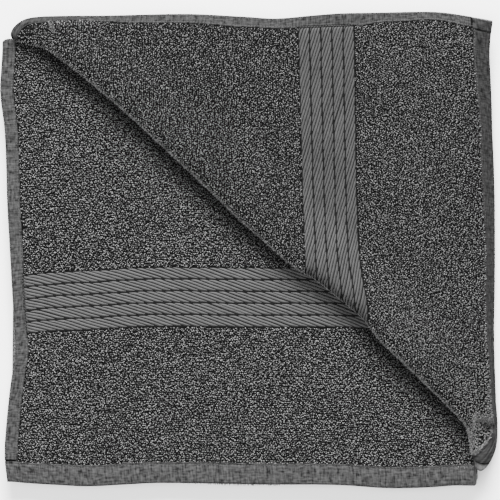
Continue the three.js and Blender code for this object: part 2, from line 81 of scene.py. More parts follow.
# The side hem of the back layer of the top leg, and of the layers under it, as (y, x)
VISIBLE_SIDE_HEM = [
    (-247, -253.8), (-216, -257), (-180, -254.8), (-142, -251), (-118, -247.6), (-104, -245.4),
    (-85, -245.8), (-50, -248), (-20, -249.8), (10, -251.6), (55, -254.2), (100, -255.4),
    (137, -257.2), (160, -260.2), (178, -261.6), (198, -260.5), (221, -259.2),
]
HIDDEN_SIDE_HEM = [
    (-240, -251.5), (-180, -252.5), (-120, -250.8), (-50, -250.8), (0, -249.5), (100, -253),
    (180, -257), (225, -254),
]
SIDE_HEM_INSETS = {"middle": (5, 3.2), "lower": (3.8, 1.2)}  # front and back layer
FRONT_HEM_AT_FOLD_X = -246

# The end hem of the back layer of the top leg, as (x, y)
VISIBLE_END_HEM = [
    (-255, -243), (-249, -242.8), (-236, -244.2), (-214, -245.4), (-170, -247.6), (-136, -246),
    (-98, -244.2), (-40, -244.7), (20, -245.8), (80, -246), (105, -246.9), (145, -249.6),
    (190, -248.7), (215, -246.8), (238, -247),
]
FRONT_END_AT_FOLD_Y = -227

# The cross folds, as (x, y)
TOP_FOLD_FRONT = [
    (-260, 224), (-235, 226), (-190, 227.5), (-120, 228.5), (0, 228), (120, 229.5), (240, 228),
]
TOP_FOLD_BACK = [
    (-260, 218.4), (-235, 218.8), (-190, 223), (-120, 227.5), (0, 228), (120, 229.5), (240, 228),
]
BOTTOM_FOLD = [
    (-260, -231), (-150, -233.5), (-40, -238.5), (5, -239.8), (40, -239), (90, -236), (150, -235),
    (240, -232),
]
LOWER_END_Y = 223
LEG_BOTTOM_Y = -245
LEG_TOP_Y = 228

# The roll, by the share of the way along it
ROLL_EDGE = [
    (0, 9), (0.05, 12.6), (0.1, 16.2), (0.15, 18.5), (0.2, 20.1), (0.3, 20.9), (0.4, 20.5),
    (0.46, 20.2), (0.51, 20.9), (0.56, 22), (0.585, 24.2), (0.61, 27.3), (0.635, 29.1),
    (0.66, 30.1), (0.685, 31.4), (0.708, 31.9), (0.735, 29.4), (0.76, 27.7), (0.81, 27.6),
    (0.86, 27.2), (0.9125, 26.2), (0.9635, 22.7), (1, 12),
]
ROLL_RADIUS = [(0, 6), (0.15, 7.2), (0.45, 7), (0.68, 8.2), (0.85, 7.4), (1, 6)]
ROLL_EDGE_CLEARANCE = 1.7
ROLL_END_LENGTH = 0.07
ROLL_MOUTH_START = 0.3
ROLL_FALL = 60
# How wide the hems show at the roll's two ends, from under it to its crest, seen from above
LEFT_HEM_SHOWN = [(0, 5), (0.5, 5), (1, 5.5)]
RIGHT_HEM_SHOWN = [(0, 14), (0.4, 15), (0.6, 14), (0.8, 8), (1, 4)]

# The two ends of the roll, from under it to its crest, as (x, y, z)
ROLL_LEFT_END = [
    (FRONT_HEM_AT_FOLD_X, 224.9, FRONT_Z), (-248.2, 222.6, 24.2), (-249.6, 223.2, 26.8),
    (-249.8, 226.5, 28.6), (-248.2, 230.8, 28.8), (-244, 236, 28), (-237, 240.7, 27),
    (-228, 243.1, 26), (-216, 244.2, 25.3),
]
ROLL_RIGHT_END = [
    (236.5, FRONT_END_AT_FOLD_Y, FRONT_Z), (238.2, -229, 24.2), (240, -230.6, 26.6),
    (242.6, -230.8, 28.6), (247.6, -227.2, 28.2), (253, -219.6, 25.2), (257.6, -209.2, 20),
    (259.8, -197.8, 14.4), (260.2, -185, 9.5),
]

# The turned corner: its side hem along the top as (x, y, z), its end hem at the right as (y, x, z)
TURNED_SIDE_HEM = [
    (-216, 244.2, 25.3), (-190, 244.9, 23.6), (-150, 245.3, 22), (-65, 247.1, 21.5),
    (-5, 244.2, 21.6), (27, 242.3, 22), (65, 245.3, 24), (95, 247.5, 25), (140, 248.4, 23.5),
    (185, 249.4, 21.6), (205, 248.3, 21.8), (232, 244.1, 23.4), (254.2, 240.2, 24.6),
]
TURNED_END_HEM = [
    (-185, 260.2, 9.5), (-160, 258.8, 6.4), (-130, 257.8, 5.6), (-90, 256.8, 5.8),
    (-40, 257.6, 7), (40, 257.6, 8.4), (85, 256.6, 9.8), (125, 254.8, 11.4),
    (155, 253.9, 13.6), (187, 252.3, 16.6), (205, 251.3, 19), (225, 252.3, 22),
    (240.2, 254.2, 24.6),
]
# How wide the side hem shows there, as (x, width), and the lines between pile, hem and border, as (y, x)
SIDE_HEM_SHOWN = [
    (-216, 5.5), (-183.5, 4.8), (-157, 6.3), (-131, 7.9), (-105, 8.9), (-84, 9.5), (-52, 10),
    (-21, 11), (11, 10.5), (32, 10.5), (53, 12.6), (84, 14), (110, 14), (137, 10), (168, 9.5),
    (184, 8.4), (210, 9.5), (231, 11),
]
END_HEM_INNER = [
    (-185, 256.2), (-178, 255.4), (-157, 253.3), (-131, 251.2), (-100, 248.7), (-79, 247.5),
    (-52, 246.4), (-8, 246.8), (16, 246), (58, 243.9), (89, 241.8), (126, 241.2), (199, 234.4),
    (239, 233.4),
]
TURNED_BORDER_START = [(-73, 125), (-52, 122), (0, 114.2), (231, 109.5)]
TURNED_BORDER_END = [(-73, 61), (-52, 60), (0, 57), (231, 50.7)]
# Share of the droop left over by the distance in from the edge, in widths of the shown hem
DROOP = [(0, 1), (0.3, 0.88), (0.6, 0.64), (0.85, 0.3), (1.1, 0.12), (1.5, 0.03), (2, 0)]
CORNER_DISTANCE = 318
FRONT_BEND_POWER = 2
TURNED_BEND_POWER = 1.5

# Unevenness of the layers
SWELL = 0.03
SWELL_LENGTHS = (78, 92)
SWELL_SHIFTS = (1.1, 0.4)
SWELL_RANGE = (4, 12)
UPPER_LAYERS = (16, 18)  # heights from which they start and count in full
WAVE = 0.35  # height of the small waves in the upper layers
CREASE_FADE = 15
# Soft creases, as (x, y) to (x, y), height and half width
CREASES = [
    ((52, -112), (143, -177), 0.9, 7),
    ((118, -12), (152, -57), 0.8, 8),
    ((152, -57), (189, -112), 0.8, 8),
]
# Where the back layer's border is drawn down beside the side hem
BORDER_PULL = 8.5
BORDER_PULL_REACH = 26  # across
BORDER_PULL_LENGTH = 70  # along

# Mesh
ARC_STEPS = 8
ROLL_LINES = 18
ROLL_CELLS = 130
ROLL_CROWDING = 0.55
CORNER_LINES = 84
CORNER_CELLS = 130
FRONT_CELLS = 30
MEETING_AT = 57  # distance along each fold over which the roll starts right from the fold
MEETING_GAP = 0.02
COARSE_COLUMNS = 18
FINE_COLUMNS = 62
FINE_ROWS = 56
RIB_COUNT = 5
RIB_ROWS = 3


def curve(rows, at, column=1):
    """Value at a place along a table, on a smooth line through its rows."""
    table = np.array(rows, float)
    places = table[:, 0]
    values = table[:, column]
    at = np.clip(np.asarray(at, float), places[0], places[-1])
    i = np.clip(np.searchsorted(places, at, side="right") - 1, 0, len(places) - 2)
    before = np.maximum(i - 1, 0)
    after = np.minimum(i + 2, len(places) - 1)
    span = places[i + 1] - places[i]
    t = (at - places[i]) / span
    slope_in = (values[i + 1] - values[before]) / (places[i + 1] - places[before]) * span
    slope_out = (values[after] - values[i]) / (places[after] - places[i]) * span
    t2 = t * t
    t3 = t2 * t
    start = (2 * t3 - 3 * t2 + 1) * values[i] + (t3 - 2 * t2 + t) * slope_in
    end = (3 * t2 - 2 * t3) * values[i + 1] + (t3 - t2) * slope_out
    return start + end


def lerp(a, b, share):
    return a + (b - a) * share


def smoothstep(value, low, high):
    t = np.clip((np.asarray(value, float) - low) / (high - low), 0, 1)
    return t * t * (3 - 2 * t)


def swelled(x, y, z):
    """Height with the slow swell of the pile of layers and the small waves of the upper ones."""
    wave = np.sin(x / SWELL_LENGTHS[0] + SWELL_SHIFTS[0]) * np.cos(y / SWELL_LENGTHS[1] + SWELL_SHIFTS[1])
    height = z * (1 + SWELL * wave * smoothstep(z, *SWELL_RANGE))
    upper = smoothstep(z, *UPPER_LAYERS)
    small = np.sin(x / 11.3 + 0.7 * np.sin(y / 17)) * np.cos(y / 13.1 + 0.9 * np.sin(x / 19))
    small = small + 0.8 * np.sin((x + 1.7 * y) / 23.7 + 2.1)
    height = height + upper * WAVE * small
    for (x0, y0), (x1, y1), rise, half_width in CREASES:
        along = np.array([x1 - x0, y1 - y0])
        length = np.hypot(*along)
        along = along / length
        place = (x - x0) * along[0] + (y - y0) * along[1]
        away = (x - x0) * -along[1] + (y - y0) * along[0]
        within = smoothstep(place, -CREASE_FADE, CREASE_FADE)
        within = within * (1 - smoothstep(place, length - CREASE_FADE, length + CREASE_FADE))
        height = height + upper * rise * within * np.exp(-((away / half_width) ** 2))
    return height


class Cloth:
    """The middle surface of the cloth: points, their place in the flat cloth, and triangles."""

    def __init__(self):
        self.points = []
        self.places = []
        self.triangles = []
        self.parts = []

    def add(self, points, places):
        points = np.atleast_2d(points).astype(float)
        places = np.broadcast_to(np.atleast_2d(places), (len(points), 2))
        first = len(self.points)
        heights = swelled(points[:, 0], points[:, 1], points[:, 2])
        for point, height, place in zip(points, heights, places):
            self.points.append((point[0], point[1], height))
            self.places.append(tuple(place))
        return list(range(first, len(self.points)))

    def face(self, part, *triangles):
        for triangle in triangles:
            self.triangles.append(triangle)
            self.parts.append(part)

    def join(self, part, first, second):
        """Joins two lines of (index, share) by triangles, whatever their numbers of points."""
        i = j = 0
        while i < len(first) - 1 or j < len(second) - 1:
            next_first = first[i + 1][1] if i < len(first) - 1 else math.inf
            next_second = second[j + 1][1] if j < len(second) - 1 else math.inf
            if next_first < next_second:
                self.face(part, (first[i][0], second[j][0], first[i + 1][0]))
                i += 1
            else:
                self.face(part, (first[i][0], second[j][0], second[j + 1][0]))
                j += 1


def side_hem_x(leg, share, y):
    back = share >= 0.5
    if leg == "top":
        return np.where(back, curve(VISIBLE_SIDE_HEM, y), FRONT_HEM_AT_FOLD_X)
    front_inset, back_inset = SIDE_HEM_INSETS[leg]
    return curve(HIDDEN_SIDE_HEM, y) + np.where(back, back_inset, front_inset)


def fold_x(leg, y):
    inset = {"top": 0, "middle": MIDDLE_FOLD_INSET, "lower": LOWER_FOLD_INSET}[leg]
    return curve(LONG_FOLD, y) - inset


def bottom_y(leg, x, share):
    if leg != "top":
        return curve(BOTTOM_FOLD, x)
    drawn_up = FRONT_END_AT_FOLD_Y - curve(VISIBLE_END_HEM, LONG_FOLD[0][1])
    return curve(VISIBLE_END_HEM, x) + drawn_up * (1 - share)


def leg_row(leg, across, turn, up):
    """Points of one row of a flat leg, from the front layer's side hem to the back layer's."""
    share = (1 - np.cos(turn)) / 2
    rough_y = lerp(LEG_BOTTOM_Y, LEG_TOP_Y, up)
    x = lerp(side_hem_x(leg, share, rough_y), fold_x(leg, rough_y), across)
    top_y = lerp(curve(TOP_FOLD_FRONT, x), curve(TOP_FOLD_BACK, x), share)
    if leg == "lower":
        top_y = LOWER_END_Y
    y = lerp(bottom_y(leg, x, share), top_y, up)
    if leg == "top":
        from_middle = up * PANEL_LENGTH - BORDER_MIDDLE
        near = share * np.exp(-across * PANEL_WIDTH / BORDER_PULL_REACH)
        y = y - BORDER_PULL * near * np.exp(-((from_middle / BORDER_PULL_LENGTH) ** 2))
    side = -1 if leg == "middle" else 1
    z = LEG_Z[leg] + side * PITCH / 2 * np.cos(turn)
    return np.column_stack([x + PITCH / 2 * np.sin(turn), y, z])


def turn_row(upper, lower, across, turn, up, fold_turn):
    """One row of points of a cross fold: two legs' ends joined by a half circle."""
    start = leg_row(upper, across, turn, up)
    end = leg_row(lower, across, turn, up)
    share = (1 - math.cos(fold_turn)) / 2
    points = lerp(start, end, share)
    outward = 1 if up == 1 else -1
    points[:, 1] += outward * (start[:, 2] - end[:, 2]) / 2 * math.sin(fold_turn)
    return points


def panel_shares(count):
    """Shares of the way across one layer, close at its hem and even after it."""
    hem = [0, 2, SIDE_HEM * 0.5, SIDE_HEM, SIDE_HEM + STEP, MEETING_AT / 2, MEETING_AT]
    rest = np.linspace(MEETING_AT, PANEL_WIDTH, count - 5)[1:]
    return np.array([*hem, *rest]) / PANEL_WIDTH


def top_leg_shares():
    """Shares of the way up the top leg, with rows for the hem and for each rib of the border."""
    rows = {0, 2, END_HEM * 0.5, END_HEM, END_HEM + STEP, (END_HEM + MEETING_AT) / 2, MEETING_AT}
    rows |= set(np.linspace(MEETING_AT, PANEL_LENGTH, FINE_ROWS))
    rows -= {row for row in rows if BORDER_START - 4 < row < BORDER_END + 4}
    rows |= set(np.linspace(BORDER_START, BORDER_END, RIB_COUNT * RIB_ROWS + 1))
    rows |= {BORDER_START - STEP, BORDER_END + STEP}
    return np.array(sorted(rows)) / PANEL_LENGTH


def lay_folded_layers(cloth):
    """All of the cloth but the front layer of the top leg. Returns that layer's top and right sides."""
    front = panel_shares(COARSE_COLUMNS)
    back = panel_shares(FINE_COLUMNS)[::-1]
    arc = np.arange(1, ARC_STEPS) * math.pi / ARC_STEPS
    across = np.concatenate([front, np.ones(len(arc)), back])
    turn = np.concatenate([np.zeros(len(front)), arc, np.full(len(back), math.pi)])
    flat_u = np.concatenate([
        front * PANEL_WIDTH,
        PANEL_WIDTH + arc / math.pi * ARC_LENGTH,
        CLOTH_WIDTH - back * PANEL_WIDTH,
    ])
    hidden = [0, 0.2, 0.4, 0.6, 0.8]
    hem_up = 1 - END_HEM / PANEL_LENGTH
    rows = [("top", up, 0) for up in top_leg_shares()]
    top_count = len(rows)
    rows += [("top fold", 1, angle) for angle in arc]
    rows += [("middle", 1 - up, 0) for up in hidden] + [("middle", 0, 0)]
    rows += [("bottom fold", 0, angle) for angle in arc]
    rows += [("lower", up, 0) for up in hidden]
    rows += [("lower", up, 0) for up in (hem_up - STEP / PANEL_LENGTH, hem_up, 1)]
    bases = {"top": 0, "middle": 1, "lower": 2}
    indices = []
    for j, (leg, up, angle) in enumerate(rows):
        if leg.endswith("fold"):
            legs = ("top", "middle") if leg == "top fold" else ("middle", "lower")
            points = turn_row(*legs, across, turn, up, angle)
            step = 1 if leg == "top fold" else 2
            v = step * PANEL_LENGTH + (step - 1 + angle / math.pi) * FOLD_LENGTH
        else:
            points = leg_row(leg, across, turn, up)
            base = bases[leg] * (PANEL_LENGTH + FOLD_LENGTH)
            v = base + PANEL_LENGTH * (1 - up if leg == "middle" else up)
        places = np.column_stack([flat_u, np.full(len(points), v)])
        row = [-1] * len(points)
        first = len(front) - 1 if j < top_count - 1 else 0
        row[first:] = cloth.add(points[first:], places[first:])
        indices.append(row)
    for j in range(len(rows) - 1):
        for i in range(len(across) - 1):
            if i < len(front) - 1 and j < top_count - 1:
                continue
            a, b = indices[j][i], indices[j][i + 1]
            d, c = indices[j + 1][i], indices[j + 1][i + 1]
            on_back = i >= len(front) + len(arc) and j < top_count - 1
            cloth.face("back" if on_back else "folds", (a, b, c), (a, c, d))
    top_side = indices[top_count - 1][: len(front)]
    right_side = [row[len(front) - 1] for row in indices[:top_count]]
    return top_side, right_side


roll_start = np.array(ROLL_LEFT_END[0], float)
roll_end = np.array(ROLL_RIGHT_END[0], float)
roll_length = np.linalg.norm(roll_end - roll_start)
roll_direction = (roll_end - roll_start) / roll_length
roll_inward = np.array([-roll_direction[1], roll_direction[0], 0])


def roll_section(angle, share):
    """Points of the half circle that the cloth makes in the roll."""
    share = np.atleast_1d(np.asarray(share, float))
    radius = curve(ROLL_RADIUS, share)
    offset = curve(ROLL_EDGE, share) + ROLL_EDGE_CLEARANCE + radius * (1 - math.cos(angle))
    points = roll_start + np.outer(share, roll_end - roll_start) + np.outer(offset, roll_inward)
    points[:, 2] = FRONT_Z + radius * (1 + math.sin(angle))
    return points


def roll_points(line, share):
    """Points of one line of the roll, from 0 under it to 1 at its crest."""
    share = np.atleast_1d(np.asarray(share, float))
    angle = math.pi * (line - 0.5)
    section = roll_section(angle, share)
    points = section.copy()
    for ends, at_left in ((ROLL_LEFT_END, True), (ROLL_RIGHT_END, False)):
        rows = [(k / (len(ends) - 1), *end) for k, end in enumerate(ends)]
        tip = np.array([float(curve(rows, line, column)) for column in (1, 2, 3)])
        mouth = roll_section(angle, ROLL_END_LENGTH if at_left else 1 - ROLL_END_LENGTH)[0]
        reach = (share if at_left else 1 - share) / ROLL_END_LENGTH
        near = reach < 1
        straight = tip + np.outer(reach, mouth - tip)
        straight[:, 2] = lerp(mouth[2], tip[2], np.clip(1 - reach, 0, 1) ** 1.4)
        blend = smoothstep(reach, ROLL_MOUTH_START, 1)[:, None]
        points[near] = lerp(straight, section, blend)[near]
    return points


def roll_shares():
    even = np.linspace(0, 1, ROLL_CELLS + 1)
    return even - ROLL_CROWDING * np.sin(2 * math.pi * even) / (2 * math.pi)


def lay_front_layer(cloth, top_side, right_side):
    """The front layer from the two folds to the line on which the roll stands, which it returns."""
    def shared(index):
        return index, float((np.array(cloth.points[index]) - roll_start) @ roll_direction / roll_length)

    hidden_place = (PANEL_WIDTH * 0.9, PANEL_LENGTH * 0.9)
    meet_top, meet_right = (
        next(k for k, i in enumerate(side) if cloth.places[i][axis] >= MEETING_AT - 0.1)
        for axis, side in enumerate((top_side, right_side))
    )
    left = [shared(i) for i in top_side[: meet_top + 1]]
    right = [shared(i) for i in right_side[: meet_right + 1]][::-1]
    start, end = left[-1][1], right[0][1]
    inner = [s for s in roll_shares() if start + MEETING_GAP < s < end - MEETING_GAP]
    middle = cloth.add(roll_section(-math.pi / 2, inner), hidden_place)
    contact = left + list(zip(middle, inner)) + right
    meetings = np.array([cloth.points[top_side[meet_top]], cloth.points[right_side[meet_right]]])
    last = len(top_side) - 1
    steps = last - meet_top
    width = np.linalg.norm(meetings[0] - np.array(cloth.points[top_side[last]]))
    stops = [meet_right + round((len(right_side) - 1 - meet_right) * k / steps) for k in range(steps + 1)]
    previous = contact[len(left) - 1 : len(contact) - len(right) + 1]
    for k in range(1, steps + 1):
        extra = right_side[stops[k - 1] + 1 : stops[k]]
        previous = previous + [(index, 2 + n) for n, index in enumerate(extra)]
        top, low = cloth.points[top_side[meet_top + k]], cloth.points[right_side[stops[k]]]
        if k == steps:
            cloth.join("front", [(top_side[last], 0)], previous)
            break
        to_corner = np.linalg.norm(np.array(top) - meetings[0]) / width
        cells = max(2, round(FRONT_CELLS * (1 - to_corner)))
        across = np.linspace(0, 1, cells + 1)[1:-1]
        share = lerp(start, end, across)
        chord = meetings[0] + np.outer(across, meetings[1] - meetings[0])
        bulge = roll_section(-math.pi / 2, share) - chord
        points = np.array(top) + np.outer(across, np.array(low) - np.array(top))
        points += bulge * (1 - to_corner) ** FRONT_BEND_POWER
        points[:, 2] = FRONT_Z
        inside = cloth.add(points, hidden_place)
        line = [(top_side[meet_top + k], start), *zip(inside, share), (right_side[stops[k]], end)]
        cloth.join("front", line, previous)
        previous = line
    return contact


def turned_places(x, y):
    """Places in the flat cloth of points on the turned corner."""
    top = curve(TURNED_SIDE_HEM, x, 1)
    shown = curve(SIDE_HEM_SHOWN, x)
    down = top - y
    u = np.where(down < shown, down / shown * SIDE_HEM, SIDE_HEM + down - shown)
    knots = [
        curve(TURNED_END_HEM, y, 1), curve(END_HEM_INNER, y),
        curve(TURNED_BORDER_START, y), curve(TURNED_BORDER_END, y),
    ]
    marks = [0, END_HEM, BORDER_START, BORDER_END]
    v = BORDER_END + knots[3] - x
    for k in (2, 1, 0):
        share = (knots[k] - x) / (knots[k] - knots[k + 1])
        v = np.where(x > knots[k + 1], lerp(marks[k], marks[k + 1], share), v)
    return np.column_stack([u, v])


def lay_roll(cloth, contact):
    shares = roll_shares()
    crest = roll_points(1, shares)
    crest_places = turned_places(crest[:, 0], crest[:, 1])
    radius = curve(ROLL_RADIUS, shares)
    left = shares < ROLL_END_LENGTH
    right = shares > 1 - ROLL_END_LENGTH
    previous = contact
    for k in range(1, ROLL_LINES + 1):
        line = k / ROLL_LINES
        laid = roll_points(line, shares)
        arc = radius * math.pi * (1 - line) / math.sqrt(2)
        places = crest_places + arc[:, None]
        for near, tip, column, hem, shown in (
            (left, 0, 0, SIDE_HEM, LEFT_HEM_SHOWN), (right, -1, 1, END_HEM, RIGHT_HEM_SHOWN),
        ):
            inside = np.flatnonzero(~left & ~right)[tip]
            distance = np.linalg.norm((laid - laid[tip])[:, :2], axis=1) / math.sqrt(2)
            width = float(curve(shown, line))
            knots = [0, width, distance[inside]]
            steps = np.interp(distance, knots, [0, hem, places[inside, column]])
            places[near, column] = steps[near]
            run = distance[inside] - distance[near]
            places[near, 1 - column] = places[inside, 1 - column] + run + arc[near] * run / knots[2]
        current = list(zip(cloth.add(laid, places), shares))
        cloth.join("roll" if k > 1 else "roll foot", previous, current)
        previous = current
    return previous


def line_shares(length, cells):
    """Shares along a line of the turned corner, close at its hems."""
    start = min(SIDE_HEM * math.sqrt(2) / length, 0.4)
    end = min(END_HEM * math.sqrt(2) / length, 0.5)
    inner = np.linspace(start, 1 - end, cells + 1)
    parts = np.linspace(0, 1, 7)[:-1]
    return np.array([*(parts * start), *inner, *(1 - parts * end)[::-1]])


def lay_turned_corner(cloth, crest_line):
    crest_start, crest_end = np.array(ROLL_LEFT_END[-1]), np.array(ROLL_RIGHT_END[-1])
    corner = TURNED_SIDE_HEM[-1]
    previous = crest_line
    for k in range(1, CORNER_LINES + 1):
        to_corner = k / CORNER_LINES
        start_x = lerp(crest_start[0], corner[0], to_corner)
        end_y = lerp(crest_end[1], corner[1], to_corner)
        start = np.array([start_x, *(float(curve(TURNED_SIDE_HEM, start_x, c)) for c in (1, 2))])
        end_x, end_z = (float(curve(TURNED_END_HEM, end_y, c)) for c in (1, 2))
        end = np.array([end_x, end_y, end_z])
        if k == CORNER_LINES:
            tip = cloth.add([start], [(0, 0)])
            cloth.join("turned", previous, [(tip[0], 0)])
            return
        length = np.linalg.norm(end - start)
        shares = line_shares(length, max(2, round(CORNER_CELLS * (1 - to_corner))))
        chord = crest_start + np.outer(shares, crest_end - crest_start)
        points = start + np.outer(shares, end - start)
        points += (roll_points(1, shares) - chord) * (1 - to_corner) ** TURNED_BEND_POWER
        crest_z = FRONT_Z + 2 * curve(ROLL_RADIUS, shares)
        fallen = smoothstep(to_corner * CORNER_DISTANCE, 0, ROLL_FALL)
        body_z = lerp(crest_z, TURNED_Z, fallen)
        x, y = points[:, 0], points[:, 1]
        extra = 1 + 0.12 * (body_z - TURNED_Z)
        side_width = curve(SIDE_HEM_SHOWN, x) * extra
        end_width = np.maximum(curve(TURNED_END_HEM, y, 1) - curve(END_HEM_INNER, y), 3) * extra
        in_side = (curve(TURNED_SIDE_HEM, x, 1) - y) / side_width
        in_end = (curve(TURNED_END_HEM, y, 1) - x) / end_width
        side_drop = (body_z - curve(TURNED_SIDE_HEM, x, 2)) * curve(DROOP, in_side)
        end_drop = (body_z - curve(TURNED_END_HEM, y, 2)) * curve(DROOP, in_end)
        points[:, 2] = body_z - np.maximum(side_drop, end_drop)
        places = turned_places(x, y)
        places[0, 0] = 0
        places[-1, 1] = 0
        current = list(zip(cloth.add(points, places), shares))
        cloth.join("turned", previous, current)
        previous = current


def half_thickness(places):
    """Half the thickness of the cloth at places in it: hem, border or the ground under the loops."""
    u = np.minimum(places[:, 0], CLOTH_WIDTH - places[:, 0])
    v = places[:, 1]
    hem = 1 - np.minimum(smoothstep(u, SIDE_HEM / 2, SIDE_HEM), smoothstep(v, END_HEM / 2, END_HEM))
    border = smoothstep(v, BORDER_START - STEP, BORDER_START)
    border = border * (1 - smoothstep(v, BORDER_END, BORDER_END + STEP))
    half = lerp(GROUND_HALF, BORDER_HALF, border)
    return lerp(half, np.where(v < BANDED_UP_TO, HEM_CORE_HALF, HEM_HALF), hem)


cloth = Cloth()
top_side, right_side = lay_folded_layers(cloth)
contact_line = lay_front_layer(cloth, top_side, right_side)
crest_line = lay_roll(cloth, contact_line)
lay_turned_corner(cloth, crest_line)

points = np.array(cloth.points)
places = np.array(cloth.places)
triangles = np.array(cloth.triangles)
parts = np.array(cloth.parts)


def point_normals(points, triangles):
    a, b, c = (points[triangles[:, k]] for k in range(3))
    face = np.cross(b - a, c - a)
    normals = np.zeros_like(points)
    for k in range(3):
        np.add.at(normals, triangles[:, k], face)
    return normals / np.maximum(np.linalg.norm(normals, axis=1, keepdims=True), 1e-9)


normals = point_normals(points, triangles)
halves = half_thickness(places)


def rim_edges(triangles):
    """Edges that belong to one triangle only, in that triangle's direction."""
    owners = {}
    for a, b, c in triangles:
        for edge in ((a, b), (b, c), (c, a)):
            if edge[::-1] in owners:
                del owners[edge[::-1]]
            else:
                owners[edge] = True
    return list(owners)


def sheet_mesh():
    """The closed sheet: two faces at half the thickness to each side, and a rounded rim between them."""
    count = len(points)
    upper = points + normals * halves[:, None]
    lower = points - normals * halves[:, None]
    rim = rim_edges(triangles)
    outward = {}
    for a, b in rim:
        side = np.cross(points[b] - points[a], normals[a] + normals[b])
        side = side / max(np.linalg.norm(side), 1e-9)
        for end in (a, b):
            outward[end] = outward.get(end, 0) + side
    rim_index = {}
    rim_points = []
    rim_places = []
    for number, (index, side) in enumerate(outward.items()):
        side = side / max(np.linalg.norm(side), 1e-9)
        rim_index[index] = 2 * count + number
        rim_points.append(points[index] + side * RIM_BULGE)
        rim_places.append(places[index])
    faces = [tuple(t) for t in triangles]
    faces += [(a + count, c + count, b + count) for a, b, c in triangles]
    for a, b in rim:
        ra, rb = rim_index[a], rim_index[b]
        faces += [(b, a, ra, rb), (rb, ra, a + count, b + count)]
    vertices = np.vstack([upper, lower, np.array(rim_points)])
    return vertices, faces, np.vstack([places, places, np.array(rim_places)])


def new_mesh(name, vertices, faces):
    mesh = bpy.data.meshes.new(name)
    mesh.from_pydata((np.asarray(vertices) * MM).tolist(), [], [tuple(map(int, f)) for f in faces])
    mesh.shade_smooth()
    mesh.update()
    return mesh


def new_piece(name, mesh):
    piece = bpy.data.objects.new(name, mesh)
    bpy.context.collection.objects.link(piece)
    return piece


def store(mesh, label, values):
    """Stores a number or a vector for each point of a mesh."""
    values = np.asarray(values, float)
    kind, key = ("FLOAT", "value") if values.ndim == 1 else ("FLOAT_VECTOR", "vector")
    mesh.attributes.new(label, kind, "POINT").data.foreach_set(key, values.ravel())


vertices, faces, vertex_places = sheet_mesh()
sheet = new_piece("bath_sheet", new_mesh("bath_sheet", vertices, faces))
from_side = np.minimum(vertex_places[:, 0], CLOTH_WIDTH - vertex_places[:, 0])
sheet_marks = np.column_stack([from_side, vertex_places[:, 1], np.zeros(len(vertices))])
store(sheet.data, "cloth_place", sheet_marks * MM)


class Chart:
    """Finds points of one part of the cloth by their place in the flat cloth."""

    def __init__(self, part_names, outer_face):
        self.faces = triangles[np.isin(parts, part_names)]
        self.sign = 1 if outer_face else -1
        corners = [Vector((u, v, 0)) for u, v in places]
        self.tree = BVHTree.FromPolygons(corners, self.faces.tolist())

    def find(self, wanted):
        """Middle points of the cloth at the wanted places, half thicknesses, normals and directions."""
        wanted = np.asarray(wanted, float)
        down = Vector((0, 0, -1))
        found = []
        for u, v in wanted:
            hit = self.tree.ray_cast(Vector((u, v, 1)), down)
            found.append(-1 if hit[2] is None else hit[2])
        found = np.array(found)
        kept = found >= 0
        a, b, c = (self.faces[found[kept]][:, k] for k in range(3))
        at = wanted[kept]
        e1, e2, e0 = places[b] - places[a], places[c] - places[a], at - places[a]
        det = e1[:, 0] * e2[:, 1] - e1[:, 1] * e2[:, 0]
        det = np.where(np.abs(det) < 1e-9, 1e-9, det)
        wb = (e0[:, 0] * e2[:, 1] - e0[:, 1] * e2[:, 0]) / det
        wc = (e1[:, 0] * e0[:, 1] - e1[:, 1] * e0[:, 0]) / det
        wa = 1 - wb - wc
        weights = np.column_stack([wa, wb, wc])

        def mixed(values):
            stack = np.stack([values[a], values[b], values[c]], axis=1)
            if stack.ndim == 2:
                return (stack * weights).sum(axis=1)
            return (stack * weights[:, :, None]).sum(axis=1)

        normal = mixed(normals) * self.sign
        normal /= np.maximum(np.linalg.norm(normal, axis=1, keepdims=True), 1e-9)
        d1, d2 = points[b] - points[a], points[c] - points[a]
        along_u = (d1 * e2[:, 1:2] - d2 * e1[:, 1:2]) / det[:, None]
        along_v = (d2 * e1[:, 0:1] - d1 * e2[:, 0:1]) / det[:, None]
        return kept, mixed(points), mixed(halves), normal, along_u, along_v


# Which face of the cloth shows: the outer one is on the folds, the other on the back and turned layers
on_back = parts == "back"
faces_up = normals[triangles[on_back].ravel(), 2].mean() > 0
back_chart = Chart(["back"], faces_up)
turned_chart = Chart(["roll", "turned"], faces_up)
folds_chart = Chart(["folds"], not faces_up)


def turned_about(normal, direction, spin, lean):
    """Rotation that sets a small thing on the cloth: X along a direction of the cloth, Z off its face."""
    z = Vector(normal)
    x = Vector(direction)
    x = (x - z * x.dot(z)).normalized()
    base = Matrix((x, z.cross(x), z)).transposed()
    return (base.to_4x4() @ Euler((lean, 0, spin)).to_matrix().to_4x4()).to_euler()


def site_mesh(name, sites):
    """Points with the turn, the size and the shade of what is set on them."""
    mesh = bpy.data.meshes.new(name)
    mesh.from_pydata((sites[0] * MM).tolist(), [], [])
    for label, values in zip(("turn", "size", "shade"), sites[1:]):
        store(mesh, label, values)
    return mesh


rng = np.random.default_rng(11)
SITE_HEIGHT = 2.2  # of the tallest thing that is set on the cloth
FLOOR_GAP = 0.6


